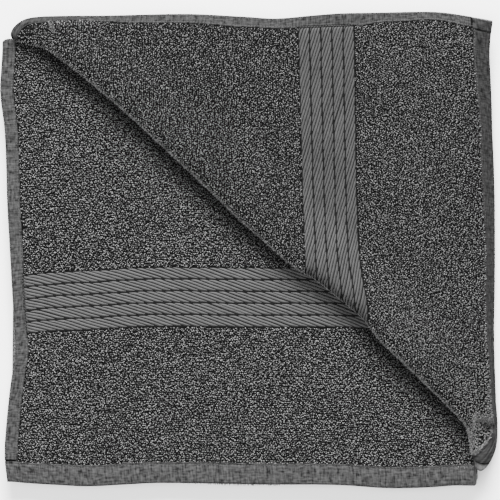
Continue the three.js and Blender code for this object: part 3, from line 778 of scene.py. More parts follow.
def setting_out(chart, wanted, lift, direction, spread, lean, unevenness, keep=None):
    """Sites on a chart for things set along a direction (du, dv) of the cloth, clear of the floor."""
    kept, middle, half, normal, along_u, along_v = chart.find(wanted)
    position = middle + normal * (half + lift)[:, None]
    way = along_u * direction[0] + along_v * direction[1]
    good = np.linalg.norm(way, axis=1) > 1e-6
    good &= position[:, 2] + SITE_HEIGHT * np.minimum(normal[:, 2], 0) > FLOOR_GAP
    if keep is not None:
        good &= keep(position, wanted[kept])
    position, normal, way = position[good], normal[good], way[good]
    count = len(position)
    spins = rng.normal(0, spread, count)
    leans = rng.normal(0, lean, count)
    turns = [tuple(turned_about(n, w, s, t)) for n, w, s, t in zip(normal, way, spins, leans)]
    sizes = rng.uniform(1 - unevenness, 1 + unevenness, (count, 3))
    return position, np.array(turns).reshape(-1, 3), sizes, rng.uniform(0, 1, count)


# Widths of the hems
HEM_DRAWN_IN = 2.6  # of a side hem, where the border pulls at it
HEM_DRAWN_WITHIN = (26, 40)  # of the border's middle
END_HEM_DRAWN_IN = 4.5  # of the turned end hem, where it goes round the roll's end
END_HEM_DRAWN_FROM = (425, 462)


def side_width(along):
    from_middle = np.abs(along - BORDER_MIDDLE)
    return SIDE_HEM - HEM_DRAWN_IN * (1 - smoothstep(from_middle, *HEM_DRAWN_WITHIN))


def end_width(along):
    return np.full(len(along), END_HEM)


def turned_end_width(along):
    return END_HEM - END_HEM_DRAWN_IN * smoothstep(along, *END_HEM_DRAWN_FROM)


# Loops, about 2 mm apart each way
LOOP_STEP_U = 1.95
LOOP_STEP_V = 2.05
LOOP_JITTER = 0.36
LOOP_FOOT = -0.25
LOOP_SPREAD = 0.6
LOOP_LEAN = 0.5
LOOP_UNEVENNESS = 0.3
PILE_MARGIN = 0.5
# Painted shade: the loops of the turned corner are set darker, and a painted shadow of the roll darkens the
# back layer's loops towards the roll's foot
PAINTED_TURNED_SHADE = 0.84
ROLL_SHADOW_SHADE = 0.3
ROLL_SHADOW_FROM = 6  # from the line on which the roll stands
ROLL_SHADOW_REACH = 32


def in_pile(place):
    u, v = place[:, 0], place[:, 1]
    edge = np.minimum(u, CLOTH_WIDTH - u)
    end = np.where(u < PANEL_WIDTH + 30, turned_end_width(u), END_HEM)
    clear_of_hems = (edge > side_width(v) + PILE_MARGIN) & (v > end + PILE_MARGIN)
    return clear_of_hems & ((v < BORDER_START - PILE_MARGIN) | (v > BORDER_END + PILE_MARGIN))


def distance_from_roll(position):
    """How far points lie to the lower left of the line on which the roll stands."""
    relative = position - roll_start
    share = relative @ roll_direction / roll_length
    reach = curve(ROLL_EDGE, share) + curve(ROLL_RADIUS, share) + ROLL_EDGE_CLEARANCE
    return reach - relative @ roll_inward


def outside_roll(position, clearance):
    return distance_from_roll(position) > clearance


def out_of_roll_shadow(position):
    """Fade of the roll's painted shadow on the loops: 0 at the roll's foot, 1 farther off."""
    return smoothstep(distance_from_roll(position), ROLL_SHADOW_FROM, ROLL_SHADOW_FROM + ROLL_SHADOW_REACH)


def uncovered_pile(position, place):
    return in_pile(place) & outside_roll(position, 2.5)


def shown_turned_pile(position, place):
    return in_pile(place) & clear_of_back_layer(position)


def clear_of_back_layer(position):
    """Whether a point of the roll is far enough up from the layer that it stands on to be seen."""
    return (position[:, 2] > FRONT_Z + 2) | (position[:, 0] > LONG_FOLD[0][1] + 4)


def shown_fold_pile(position, place):
    u, v = place[:, 0], place[:, 1]
    on_long_fold = (u > PANEL_WIDTH - 4) & (u < CLOTH_WIDTH - PANEL_WIDTH + 4)
    on_top_fold = (v > PANEL_LENGTH - 3) & (v < PANEL_LENGTH + FOLD_LENGTH + 1) & (u < PANEL_WIDTH)
    low = 2 * PANEL_LENGTH + FOLD_LENGTH
    on_bottom_fold = (v > low - 3) & (v < low + FOLD_LENGTH + 3) & (u > PANEL_WIDTH)
    return in_pile(place) & (on_long_fold | on_top_fold | on_bottom_fold) & (position[:, 2] > 0.4)


def lattice(u_range, v_range, u_step=LOOP_STEP_U, v_step=LOOP_STEP_V):
    """Places in staggered rows, a little out of line."""
    u, v = np.arange(*u_range, u_step), np.arange(*v_range, v_step)
    grid_u, grid_v = np.meshgrid(u, v)
    grid_u = grid_u + (np.arange(len(v)) % 2)[:, None] * u_step / 2
    grid = np.column_stack([grid_u.ravel(), grid_v.ravel()])
    return grid + rng.normal(0, LOOP_JITTER, grid.shape)


def loops(chart, wanted, keep):
    return setting_out(chart, wanted, LOOP_FOOT, (1, 0), LOOP_SPREAD, LOOP_LEAN, LOOP_UNEVENNESS, keep)


back_lattice = lattice((PANEL_WIDTH, CLOTH_WIDTH), (0, PANEL_LENGTH + 4))
# Closer loops round the roll's right end, where the cloth bends most
turned_lattice = np.vstack([lattice((0, 620), (0, 620)), lattice((415, 500), (13, 45), 1.5, 1.3)])
fold_lattice = np.vstack([
    lattice((PANEL_WIDTH - 4, PANEL_WIDTH + 11), (0, 3 * PANEL_LENGTH + 28), 2.6, 2.3),
    lattice((0, PANEL_WIDTH), (PANEL_LENGTH - 3, PANEL_LENGTH + 15), 2.95, 1.5),
    lattice((PANEL_WIDTH + 8, CLOTH_WIDTH), (2 * PANEL_LENGTH + 10, 2 * PANEL_LENGTH + 30), 2.95, 1.5),
])
loop_sites = {
    "terry_loops_back": loops(back_chart, back_lattice, uncovered_pile),
    "terry_loops_turned": loops(turned_chart, turned_lattice, shown_turned_pile),
    "terry_loops_folds": loops(folds_chart, fold_lattice, shown_fold_pile),
}
# Painted shade: the turned corner's loops are set darker
loop_sites["terry_loops_turned"][3][:] *= PAINTED_TURNED_SHADE
# Painted shadow of the roll: the back layer's loops are darkened towards the roll's foot
back_loops = loop_sites["terry_loops_back"]
back_loops[3][:] *= ROLL_SHADOW_SHADE + (1 - ROLL_SHADOW_SHADE) * out_of_roll_shadow(back_loops[0])

# Border: five ribs of slanting stripes of floating threads, cut off along the lines between the ribs
STRIPE_PERIOD = 9.6  # along the border
STRIPE_SHARE = 0.87
STRIPE_SLANT = 0.36  # rise over run
STRIPE_HEIGHT = 0.6
STRIPE_FOOT = -0.25
STRIPE_CLEARANCE = 1.6  # from the hem
RIB_WIDTH = (BORDER_END - BORDER_START) / RIB_COUNT
RIB_GAP = 0.75
RIB_SAG = 0.3
STRIPE_UNEVENNESS = {"start": 0.35, "share": 0.03, "height": 0.15}
LEAST_STRIPE = 1.5
STRIPE_ROWS = [0, 0.03, 0.09, 0.2, 0.35, 0.5, 0.65, 0.8, 0.91, 0.97, 1]
STRIPE_COLUMNS = [0, 0.07, 0.2, 0.35, 0.5, 0.65, 0.8, 0.93, 1]


def stripe_limits(chart, u_range):
    """Function for the least and the most u of the border on a chart, by v."""
    rows = np.linspace(BORDER_START - 0.5, BORDER_END + 0.5, 90)
    steps = np.arange(*u_range, 0.5)
    ends = []
    for row in rows:
        kept = chart.find(np.column_stack([steps, np.full(len(steps), row)]))[0]
        ends.append((steps[kept].min() + 0.6, steps[kept].max() - 0.9))
    least, most = np.array(ends).T

    def limits(v):
        clear = side_width(v) + STRIPE_CLEARANCE
        return (
            np.maximum(np.interp(v, rows, least), clear),
            np.minimum(np.interp(v, rows, most), CLOTH_WIDTH - clear),
        )

    return limits


def stripe_places(u_range, limits):
    """Grids over all stripes as (stripe, row, column, place), with the heights and a shade for each."""
    rib = RIB_WIDTH - RIB_GAP
    run = rib / STRIPE_SLANT
    rows, columns = np.meshgrid(STRIPE_ROWS, STRIPE_COLUMNS, indexing="ij")
    profile = np.minimum(np.sin(rows * math.pi) * 3.5, 1) * np.sin(columns * math.pi) ** 0.6
    grids, heights, shades = [], [], []
    for number in range(RIB_COUNT):
        low = BORDER_START + number * RIB_WIDTH + RIB_GAP / 2
        for start in np.arange(u_range[0] - run, u_range[1], STRIPE_PERIOD):
            start = start + rng.normal(0, STRIPE_UNEVENNESS["start"])
            width = STRIPE_PERIOD * (STRIPE_SHARE + rng.normal(0, STRIPE_UNEVENNESS["share"]))
            v = low + rows * rib
            least, most = limits(v)
            left = np.clip(start + rows * run, least, most - 0.1)
            right = np.clip(start + rows * run + width, left + 0.1, most)
            u = left + columns * (right - left)
            if (right - left).max() < LEAST_STRIPE:
                continue
            sag = RIB_SAG * np.sin(u / 7 + 2.1 * number) * (1 - 2 * rows)
            grids.append(np.stack([u, v + sag], axis=-1))
            scale = rng.uniform(1 - STRIPE_UNEVENNESS["height"], 1)
            heights.append(STRIPE_FOOT + (STRIPE_HEIGHT - STRIPE_FOOT) * profile * scale)
            shades.append(rng.uniform(0, 1))
    return np.array(grids), np.array(heights), np.array(shades)


def stripes(chart, u_range, shown, painted_shade_shift):
    """Closed pads on the border: their points, faces, marks and shades."""
    grids, heights, shades = stripe_places(u_range, stripe_limits(chart, u_range))
    count, row_count, column_count = heights.shape
    kept, middle, half, normal, _, _ = chart.find(grids.reshape(-1, 2))
    position = np.zeros((count * row_count * column_count, 3))
    position[kept] = middle + normal * (half + heights.ravel()[kept])[:, None]
    seen = kept.copy()
    seen[kept] = shown(position[kept])
    whole = kept.reshape(count, -1).all(axis=1) & seen.reshape(count, -1).any(axis=1)
    size = row_count * column_count
    faces = []
    last = column_count - 1
    end = (row_count - 1) * column_count
    under = [
        [start, start + column_count, start + column_count + last, start + last]
        for start in range(0, end, column_count)
    ]
    under[0] += range(last - 1, 0, -1)
    under[-1][2:2] = range(end + 1, end + last)
    for number in range(int(whole.sum())):
        first = number * size
        for i in range(row_count - 1):
            for j in range(column_count - 1):
                a = first + i * column_count + j
                faces.append((a, a + 1, a + column_count + 1, a + column_count))
        faces += [tuple(first + k for k in face) for face in under]
    laid = position.reshape(count, size, 3)[whole].reshape(-1, 3)
    marks = grids.reshape(count, size, 2)[whole].reshape(-1, 2)
    return laid, faces, marks, np.repeat(shades[whole], size) + painted_shade_shift


stripe_pads = {
    "border_stripes_back": stripes(
        back_chart, (PANEL_WIDTH, CLOTH_WIDTH), lambda position: outside_roll(position, 2), 0
    ),
    # Painted shade: the turned corner's stripes are set darker by a shift of their shade
    "border_stripes_turned": stripes(turned_chart, (0, 420), clear_of_back_layer, -0.8),
}

# Hems: bands of doubled cloth round the sheet's edges, the end hems over the side hems at the corners.
# Cross-section as (share of the width from the folded edge, further distance, height off the middle)
HEM_SECTION = [
    (1, -0.8, 0.3), (1, 0.1, 0.8), (1, 0.05, 1.55), (1, -0.35, 2), (1, -1, 2.05), (1, -1.5, 1.5),
    (1, -1.9, 1.32), (1, -2.4, 1.55), (1, -3.2, 1.85), (0.6, 0, 1.95), (0.53, 0, 1.95), (0.49, 0, 1.92),
    (0.45, 0, 1.9), (0.36, 0, 1.9), (0.2, 0, 1.9),
    (0, 1.6, 1.85), (0, 0.6, 1.65), (0, -0.2, 1.3), (0, -0.75, 0.7), (0, -0.95, 0), (0, -0.75, -0.7),
    (0, 0.1, -1.25), (0, 1.5, -1.4), (0, 4, -1.4), (0, 4.5, -0.4),
]
HEM_STATION_STEP = 2.4
HEM_END = [(-0.9, 0.25), (-0.75, 0.7), (-0.3, 0.92), (0.4, 1)]
# Rise of an end hem over the side hem under it, as (distance from the side edge, rise)
CORNER_RISE = [(0, 1), (12, 1.05), (12.8, 1.25), (13.3, 0.9), (13.8, -0.5), (14.5, -0.7), (15.2, 0.05)]
CORNER_GAP = 1.7
SEAM_INSET = 1.9
SEAM_LEVEL = 1.5
CREASE_SHARE = 0.49
CREASE_DEPTH = 0.7  # in the turned end hem
CREASE_START = (90, 150)
PUCKER = 0.16
PUCKER_LENGTH = 4.6
RUMPLE = 0.16


def corner_rise(from_side):
    """How much an end hem is raised by the side hem under it."""
    return np.interp(from_side, *np.array(CORNER_RISE).T)


def hem_relief(width, inward, along):
    """Small puckers across the seam and slow rumples of the band."""
    near_seam = np.exp(-(((width - SEAM_INSET - inward) / 3.2) ** 2))
    pucker = np.sin(along * 2 * math.pi / PUCKER_LENGTH + 1.3 * np.sin(along / 13))
    rumple = np.sin(along / 5.3 + 1.9 * np.sin(inward / 4 + along / 31))
    rumple = rumple * np.cos(along / 11.7 + inward / 6)
    return PUCKER * near_seam * pucker + RUMPLE * rumple


def hem_band(chart, width, stations, place, outward, rise=None, crease=0):
    """A band along a hem. place turns (distance in from the edge, distance along) into one in the cloth,
    outward turns the cloth's directions into those out of the edge and out of the band's start."""
    section = np.array(HEM_SECTION)
    along, scale = np.array(stations).T
    widths = width(along)
    grid_in = section[:, 0] * widths[:, None] + section[:, 1]
    grid_along = np.repeat(along[:, None], len(section), axis=1)
    height = section[None, :, 2] * scale[:, None]
    top = smoothstep(height, 0.9, 1.4)
    height = height + top * hem_relief(widths[:, None], grid_in, grid_along)
    height = height - crease * (section[:, 0] == CREASE_SHARE) * smoothstep(grid_along, *CREASE_START)
    if rise is not None:
        height = height + rise(grid_along) * smoothstep(section[None, :, 2], -0.3, 0.9)
    edge = 0.05
    wanted = place(np.maximum(grid_in, edge).ravel(), np.maximum(grid_along, edge).ravel())
    kept, middle, _, normal, along_u, along_v = chart.find(wanted)
    whole = kept.reshape(grid_in.shape).all(axis=1)
    rows = np.repeat(whole, len(section))[kept]
    middle, normal, along_u, along_v = middle[rows], normal[rows], along_u[rows], along_v[rows]
    out_of_edge, out_of_start = outward(along_u, along_v)
    at_start = np.maximum(-grid_along[whole], 0).ravel()[:, None]
    past_edge = np.maximum(-grid_in[whole], 0).ravel()[:, None]
    laid = middle + normal * height[whole].ravel()[:, None]
    laid = laid + past_edge * out_of_edge + at_start * out_of_start
    count, size = int(whole.sum()), len(section)
    faces = [tuple(range(size)), tuple(range((count - 1) * size, count * size))[::-1]]
    for j in range(count - 1):
        for i in range(size):
            a, b = j * size + i, j * size + (i + 1) % size
            faces.append((a, a + size, b + size, b))
    marks = np.column_stack([grid_in[whole].ravel(), grid_along[whole].ravel()])
    return laid, faces, marks


def unit(vectors):
    return vectors / np.maximum(np.linalg.norm(vectors, axis=1, keepdims=True), 1e-9)


def stations_along(start, end):
    """Distances along a band, rounded off at its start, and the scale of its section there."""
    first = [(a + 0.9 + start, b) for a, b in HEM_END]
    inner = np.arange(first[-1][0] + 1, end, HEM_STATION_STEP)
    if start < 1:
        inner = np.union1d(inner[(inner < 11.5) | (inner > 16)], [row[0] for row in CORNER_RISE[1:]])
    return first + [(a, 1) for a in inner]


hem_chart = Chart(["back", "folds"], faces_up)
TURNED_SIDE_END = 552
TURNED_END_END = 512
hem_bands = {
    "hem_back_side": hem_band(
        hem_chart, side_width, stations_along(END_HEM + CORNER_GAP, PANEL_LENGTH + 14),
        lambda a, b: np.column_stack([CLOTH_WIDTH - a, b]), lambda du, dv: (unit(du), -unit(dv)),
    ),
    "hem_back_end": hem_band(
        hem_chart, end_width, stations_along(-0.9, PANEL_WIDTH + 6),
        lambda a, b: np.column_stack([CLOTH_WIDTH - b, a]), lambda du, dv: (-unit(dv), unit(du)),
        corner_rise,
    ),
    "hem_turned_side": hem_band(
        turned_chart, side_width, stations_along(END_HEM + CORNER_GAP, TURNED_SIDE_END),
        lambda a, b: np.column_stack([a, b]), lambda du, dv: (-unit(du), -unit(dv)),
    ),
    "hem_turned_end": hem_band(
        turned_chart, turned_end_width, stations_along(0.9, TURNED_END_END),
        lambda a, b: np.column_stack([b, a]), lambda du, dv: (-unit(dv), -unit(du)),
        corner_rise, CREASE_DEPTH,
    ),
}

# Stitches along the hems
STITCH_STEP = 3.2
TURNED_SEAM_END = 500


def seam(chart, u, v, keep=None):
    """Sites of the stitches of one seam, along which either u or v stays the same."""
    wanted = np.column_stack(np.broadcast_arrays(u, v))
    direction = (0, 1) if np.ndim(u) == 0 else (1, 0)
    return setting_out(chart, wanted, SEAM_LEVEL - HEM_HALF, direction, 0.04, 0, 0.1, keep)


seam_parts = [
    seam(back_chart, CLOTH_WIDTH - SIDE_HEM + SEAM_INSET, np.arange(END_HEM, PANEL_LENGTH, STITCH_STEP)),
    seam(
        back_chart, CLOTH_WIDTH - np.arange(2, PANEL_WIDTH, STITCH_STEP), END_HEM - SEAM_INSET,
        lambda position, _: outside_roll(position, 3),
    ),
    seam(turned_chart, SIDE_HEM - SEAM_INSET, np.arange(END_HEM, TURNED_SEAM_END, STITCH_STEP)),
    seam(turned_chart, np.arange(2, TURNED_SEAM_END, STITCH_STEP), END_HEM - SEAM_INSET),
]
stitch_sites = {"hem_stitching": tuple(np.concatenate(column) for column in zip(*seam_parts))}


def add_node(tree, kind, settings=None, inputs=None, stops=()):
    """Adds a node. An input is a value or another node's output socket; stops are (place, sRGB hex)."""
    node = tree.nodes.new(kind)
    for name, value in (settings or {}).items():
        setattr(node, name, value)
    for name, value in (inputs or {}).items():
        if isinstance(value, bpy.types.NodeSocket):
            tree.links.new(value, node.inputs[name])
        else:
            node.inputs[name].default_value = value
    while len(stops) > len(node.color_ramp.elements if stops else ()):
        node.color_ramp.elements.new(0.5)
    for k, (place, code) in enumerate(stops):
        node.color_ramp.elements[k].position = place
        node.color_ramp.elements[k].color = linear(code)
    return node


def linear(code):
    """sRGB hex to linear colour."""
    channels = [int(code[i : i + 2], 16) / 255 for i in (1, 3, 5)]
    return [c / 12.92 if c <= 0.04045 else ((c + 0.055) / 1.055) ** 2.4 for c in channels] + [1]


def yarn_tree(name):
    """Sets one piece of yarn, bent to an arch and thinner at its ends, on every site."""
    tree = bpy.data.node_groups.new(name, "GeometryNodeTree")
    face = tree.interface
    sockets = {
        "Geometry": ["Sites"], "Float": ["Length", "Height", "Radius", "Taper"],
        "Int": ["Points", "Sides"], "Material": ["Yarn"],
    }
    for kind, labels in sockets.items():
        for label in labels:
            face.new_socket(label, in_out="INPUT", socket_type="NodeSocket" + kind)
    face.new_socket("Pieces", in_out="OUTPUT", socket_type="NodeSocketGeometry")
    given = add_node(tree, "NodeGroupInput").outputs
    # The arch is as high as Height, because its middle control point lies twice as high
    ends = []
    for axis, label, share in ((0, "Length", -0.5), (2, "Height", 2.0), (0, "Length", 0.5)):
        distance = add_node(tree, "ShaderNodeMath", {"operation": "MULTIPLY"}, {0: given[label], 1: share})
        ends.append(add_node(tree, "ShaderNodeCombineXYZ", inputs={axis: distance.outputs[0]}).outputs[0])
    arch = add_node(tree, "GeometryNodeCurveQuadraticBezier", inputs={
        "Resolution": 12, "Start": ends[0], "Middle": ends[1], "End": ends[2],
    })
    bends = add_node(tree, "GeometryNodeResampleCurve", inputs={
        "Curve": arch.outputs[0], "Count": given["Points"],
    })
    along = add_node(tree, "GeometryNodeSplineParameter").outputs["Factor"]
    middle = add_node(tree, "ShaderNodeMath", {"operation": "PINGPONG"}, {0: along, 1: 0.5})
    thinner = add_node(tree, "ShaderNodeMath", {"operation": "SUBTRACT"}, {0: 1.0, 1: given["Taper"]})
    swell = add_node(tree, "ShaderNodeMapRange", {"interpolation_type": "SMOOTHSTEP"}, {
        "Value": middle.outputs[0], "From Max": 0.4, "To Min": thinner.outputs[0], "To Max": 1.0,
    })
    section = add_node(tree, "GeometryNodeCurvePrimitiveCircle", inputs={
        "Resolution": given["Sides"], "Radius": given["Radius"],
    })
    tube = add_node(tree, "GeometryNodeCurveToMesh", inputs={
        "Curve": bends.outputs[0], "Profile Curve": section.outputs["Curve"],
        "Fill Caps": True, "Scale": swell.outputs[0],
    })
    smooth = add_node(tree, "GeometryNodeSetShadeSmooth", inputs={"Geometry": tube.outputs[0]})
    turn, size = (
        add_node(tree, "GeometryNodeInputNamedAttribute", {"data_type": "FLOAT_VECTOR"}, {"Name": label})
        for label in ("turn", "size")
    )
    rotation = add_node(tree, "FunctionNodeEulerToRotation", inputs={0: turn.outputs[0]})
    placed = add_node(tree, "GeometryNodeInstanceOnPoints", inputs={
        "Points": given["Sites"], "Instance": smooth.outputs[0],
        "Rotation": rotation.outputs[0], "Scale": size.outputs[0],
    })
    real = add_node(tree, "GeometryNodeRealizeInstances", inputs={"Geometry": placed.outputs[0]})
    dressed = add_node(tree, "GeometryNodeSetMaterial", inputs={
        "Geometry": real.outputs[0], "Material": given["Yarn"],
    })
    add_node(tree, "NodeGroupOutput", inputs={"Pieces": dressed.outputs[0]})
    return tree


def material(name, color, roughness, sheen=0.0, gloss=0.25):
    made = bpy.data.materials.new(name)
    made.use_nodes = True
    shader = made.node_tree.nodes["Principled BSDF"]
    shader.inputs["Base Color"].default_value = linear(color)
    shader.inputs["Roughness"].default_value = roughness
    shader.inputs["IOR"].default_value = 1.53
    shader.inputs["Specular IOR Level"].default_value = gloss
    shader.inputs["Sheen Weight"].default_value = sheen
    shader.inputs["Sheen Roughness"].default_value = 0.5
    return made, made.node_tree, shader


# Sizes of the patterns in millimetres, found by comparing renders. The fibres of the loops, the threads of
# the border and of the hems, and the fuzz and weave of the ground are drawn coarser than they are, so that
# they show. The mottle is a change of tone, and the pile drawn without loops is finer than its loops stand.
# The threads of the hems come with the factors that draw them out in one direction
FIBRE = 0.4167
BORDER_THREAD = 0.909
MOTTLE = 2.381
FUZZ = 1.111
WEAVE_STEP = 0.9
PILE_TUFT = 1.613
HEM_THREADS = [((0.2, 1, 1), 1.786), ((1, 0.3, 1), 2.174)]


def repeats(size):
    """How often a pattern of this size in millimetres repeats in a metre, as a whole number."""
    return round(1 / (size * MM))


def loop_yarn():
    """Cotton loop yarn, dyed charcoal: matt, uneven in tone from loop to loop at random, with painted shade
    darker on the turned corner and a painted shadow beside the roll.
    """
    made, tree, shader = material("charcoal_cotton_loop_yarn", "#5f5f5f", 0.9, 0.1, 0.15)
    # The shade holds each loop's random tone, lowered as painted shade on the turned corner and as painted
    # shadow near the roll
    shade = add_node(tree, "ShaderNodeAttribute", {"attribute_name": "shade"})
    tones = add_node(tree, "ShaderNodeValToRGB", inputs={"Fac": shade.outputs["Fac"]}, stops=[
        (0, "#262626"), (0.5, "#505050"), (1, "#767676"),
    ])
    tree.links.new(tones.outputs["Color"], shader.inputs["Base Color"])
    where = add_node(tree, "ShaderNodeTexCoord")
    fibre = add_node(tree, "ShaderNodeTexNoise", inputs={
        "Vector": where.outputs["Object"], "Scale": repeats(FIBRE), "Detail": 2.0,
    })
    bump = add_node(tree, "ShaderNodeBump", inputs={
        "Height": fibre.outputs["Fac"], "Strength": 0.5, "Distance": 0.2 * MM,
    })
    tree.links.new(bump.outputs["Normal"], shader.inputs["Normal"])
    return made


def border_yarn():
    """Mercerised border yarn: the same charcoal, smoother than the loops, in fine threads along the border."""
    made, tree, shader = material("charcoal_border_yarn", "#707070", 0.62, 0.15)
    place = add_node(tree, "ShaderNodeAttribute", {"attribute_name": "cloth_place"}).outputs["Vector"]
    laid = add_node(tree, "ShaderNodeVectorMath", {"operation": "MULTIPLY"}, {0: place, 1: (0.12, 1, 1)})
    threads = add_node(tree, "ShaderNodeTexNoise", inputs={
        "Vector": laid.outputs[0], "Scale": repeats(BORDER_THREAD), "Detail": 2.0,
    })
    # The shade holds each stripe's random tone, lowered as painted shade on the turned corner
    shade = add_node(tree, "ShaderNodeAttribute", {"attribute_name": "shade"}).outputs["Fac"]
    tone = add_node(tree, "ShaderNodeMath", {"operation": "MULTIPLY_ADD"}, {
        0: shade, 1: 0.12, 2: threads.outputs["Fac"],
    })
    tones = add_node(tree, "ShaderNodeValToRGB", inputs={"Fac": tone.outputs[0]}, stops=[
        (0.25, "#0a0a0a"), (0.8, "#2c2c2c"),
    ])
    tree.links.new(tones.outputs["Color"], shader.inputs["Base Color"])
    bump = add_node(tree, "ShaderNodeBump", inputs={
        "Height": threads.outputs["Fac"], "Strength": 0.6, "Distance": 0.4 * MM,
    })
    tree.links.new(bump.outputs["Normal"], shader.inputs["Normal"])
    return made


def sewing_thread():
    """Polyester sewing thread, a touch paler than the cloth, with a soft shine."""
    return material("charcoal_sewing_thread", "#3a3a3a", 0.6)[0]


def terry_ground():
    """Woven ground of the terry: painted near black as the shade between the loops, a little less dark as the
    shade between the border stripes, paler in the hems, finely ribbed in hem and border.
    """
    made, tree, shader = material("charcoal_cotton_ground_with_painted_shade", "#3a3a3a", 0.95, 0.0, 0.03)
    place = add_node(tree, "ShaderNodeAttribute", {"attribute_name": "cloth_place"})
    split = add_node(tree, "ShaderNodeSeparateXYZ", inputs={"Vector": place.outputs["Vector"]})
    where = add_node(tree, "ShaderNodeTexCoord").outputs["Object"]
    values = {"across": split.outputs["X"], "along": split.outputs["Y"]}
    for name, size in (("mottle", MOTTLE), ("fuzz", FUZZ)):
        pattern = add_node(tree, "ShaderNodeTexNoise", inputs={
            "Vector": where, "Scale": repeats(size), "Detail": 3.0,
        })
        values[name] = pattern.outputs["Fac"]
    # Where the hems and the border lie, and the height of the weave, each from values before it
    for name, operation, *given in (
        ("in side hem", "LESS_THAN", "across", SIDE_HEM * MM),
        ("along the bands", "LESS_THAN", "along", BANDED_UP_TO * MM),
        ("in side band", "MULTIPLY", "in side hem", "along the bands"),
        ("unbanded", "SUBTRACT", "in side hem", "in side band"),
        ("in end hem", "LESS_THAN", "along", END_HEM * MM),
        ("hem", "MAXIMUM", "unbanded", "in end hem"),
        ("before the border's end", "LESS_THAN", "along", BORDER_END * MM),
        ("before the border's start", "LESS_THAN", "along", BORDER_START * MM),
        ("border", "SUBTRACT", "before the border's end", "before the border's start"),
        ("turns across", "MULTIPLY", "across", math.pi / (WEAVE_STEP * MM)),
        ("turns along", "MULTIPLY", "along", math.pi / (WEAVE_STEP * MM)),
        ("threads across", "SINE", "turns across"),
        ("threads along", "SINE", "turns along"),
        ("weave", "MULTIPLY", "threads across", "threads along"),
        ("height", "MULTIPLY_ADD", "fuzz", 2.0, "weave"),
    ):
        inputs = {k: values.get(value, value) for k, value in enumerate(given)}
        values[name] = add_node(tree, "ShaderNodeMath", {"operation": operation}, inputs).outputs[0]
    # The ground and border tones are painted shade, near black where loops and stripes shade the ground; the
    # hem tone is the cloth's own
    tones = {
        "ground": ("#050505", "#0b0b0b"), "border": ("#0a0a0a", "#121212"), "hem": ("#363636", "#4c4c4c"),
    }
    color = None
    for part, stops in tones.items():
        own = add_node(tree, "ShaderNodeValToRGB", inputs={"Fac": values["mottle"]}, stops=[
            (0.3, stops[0]), (0.7, stops[1]),
        ])
        own_color = own.outputs["Color"]
        if color:
            mixed = add_node(tree, "ShaderNodeMix", {"data_type": "RGBA"}, {
                0: values[part], 6: color, 7: own_color,
            })
            own_color = mixed.outputs[2]
        color = own_color
    tree.links.new(color, shader.inputs["Base Color"])
    bump = add_node(tree, "ShaderNodeBump", inputs={
        "Height": values["height"], "Strength": 0.6, "Distance": 0.3 * MM,
    })
    tree.links.new(bump.outputs["Normal"], shader.inputs["Normal"])
    return made


def hidden_terry():
    """Terry on the sides that carry no separate loops, with its pile as tone and bump."""
    made, tree, shader = material("charcoal_terry_without_loops", "#3a3a3a", 0.95, 0.0, 0.08)
    where = add_node(tree, "ShaderNodeTexCoord")
    pile = add_node(tree, "ShaderNodeTexNoise", inputs={
        "Vector": where.outputs["Object"], "Scale": repeats(PILE_TUFT), "Detail": 2.0,
    })
    tones = add_node(tree, "ShaderNodeValToRGB", inputs={"Fac": pile.outputs["Fac"]}, stops=[
        (0.35, "#0c0c0c"), (0.65, "#565656"),
    ])
    tree.links.new(tones.outputs["Color"], shader.inputs["Base Color"])
    bump = add_node(tree, "ShaderNodeBump", inputs={
        "Height": pile.outputs["Fac"], "Strength": 0.9, "Distance": 1.5 * MM,
    })
    tree.links.new(bump.outputs["Normal"], shader.inputs["Normal"])
    return made


def hem_cloth():
    """Flat woven cloth of the hems: fine ribs across the band, a little uneven in tone."""
    made, tree, shader = material("charcoal_hem_cloth", "#4a4a4a", 0.95, 0.0, 0.06)
    place = add_node(tree, "ShaderNodeAttribute", {"attribute_name": "hem_place"}).outputs["Vector"]
    both = []
    for stretch, size in HEM_THREADS:
        laid = add_node(tree, "ShaderNodeVectorMath", {"operation": "MULTIPLY"}, {0: place, 1: stretch})
        threads = add_node(tree, "ShaderNodeTexNoise", inputs={
            "Vector": laid.outputs[0], "Scale": repeats(size), "Detail": 3.0,
        })
        both.append(threads.outputs["Fac"])
    total = add_node(tree, "ShaderNodeMath", {"operation": "ADD"}, dict(enumerate(both))).outputs[0]
    tone = add_node(tree, "ShaderNodeMath", {"operation": "MULTIPLY"}, {0: total, 1: 0.5}).outputs[0]
    tones = add_node(tree, "ShaderNodeValToRGB", inputs={"Fac": tone}, stops=[
        (0.36, "#0c0c0c"), (0.66, "#3c3c3c"),
    ])
    # Painted shade: each hem's colour is scaled by its shade from HEM_SHADES
    shade = add_node(tree, "ShaderNodeAttribute", {"attribute_name": "shade"}).outputs["Fac"]
    deeper = add_node(tree, "ShaderNodeVectorMath", {"operation": "SCALE"}, {
        0: tones.outputs["Color"], "Scale": shade,
    })
    tree.links.new(deeper.outputs[0], shader.inputs["Base Color"])
    bump = add_node(tree, "ShaderNodeBump", inputs={"Height": tone, "Strength": 0.5, "Distance": 0.6 * MM})
    tree.links.new(bump.outputs["Normal"], shader.inputs["Normal"])
    return made


# Shade of each hem, deeper where it slopes away from the light in the picture
HEM_SHADES = {"hem_back_side": 0.9, "hem_back_end": 0.95, "hem_turned_side": 0.68, "hem_turned_end": 0.52}


def turned_outward(laid, its_faces):
    """The faces of a closed part, turned so that they face out of it."""
    center = laid[list(its_faces[0])].mean(axis=0)
    volume = 0
    for face in its_faces:
        fan = [laid[index] - center for index in face]
        for second, third in zip(fan[1:], fan[2:]):
            volume += np.dot(fan[0], np.cross(second, third))
    return [face[::-1] for face in its_faces] if volume < 0 else its_faces


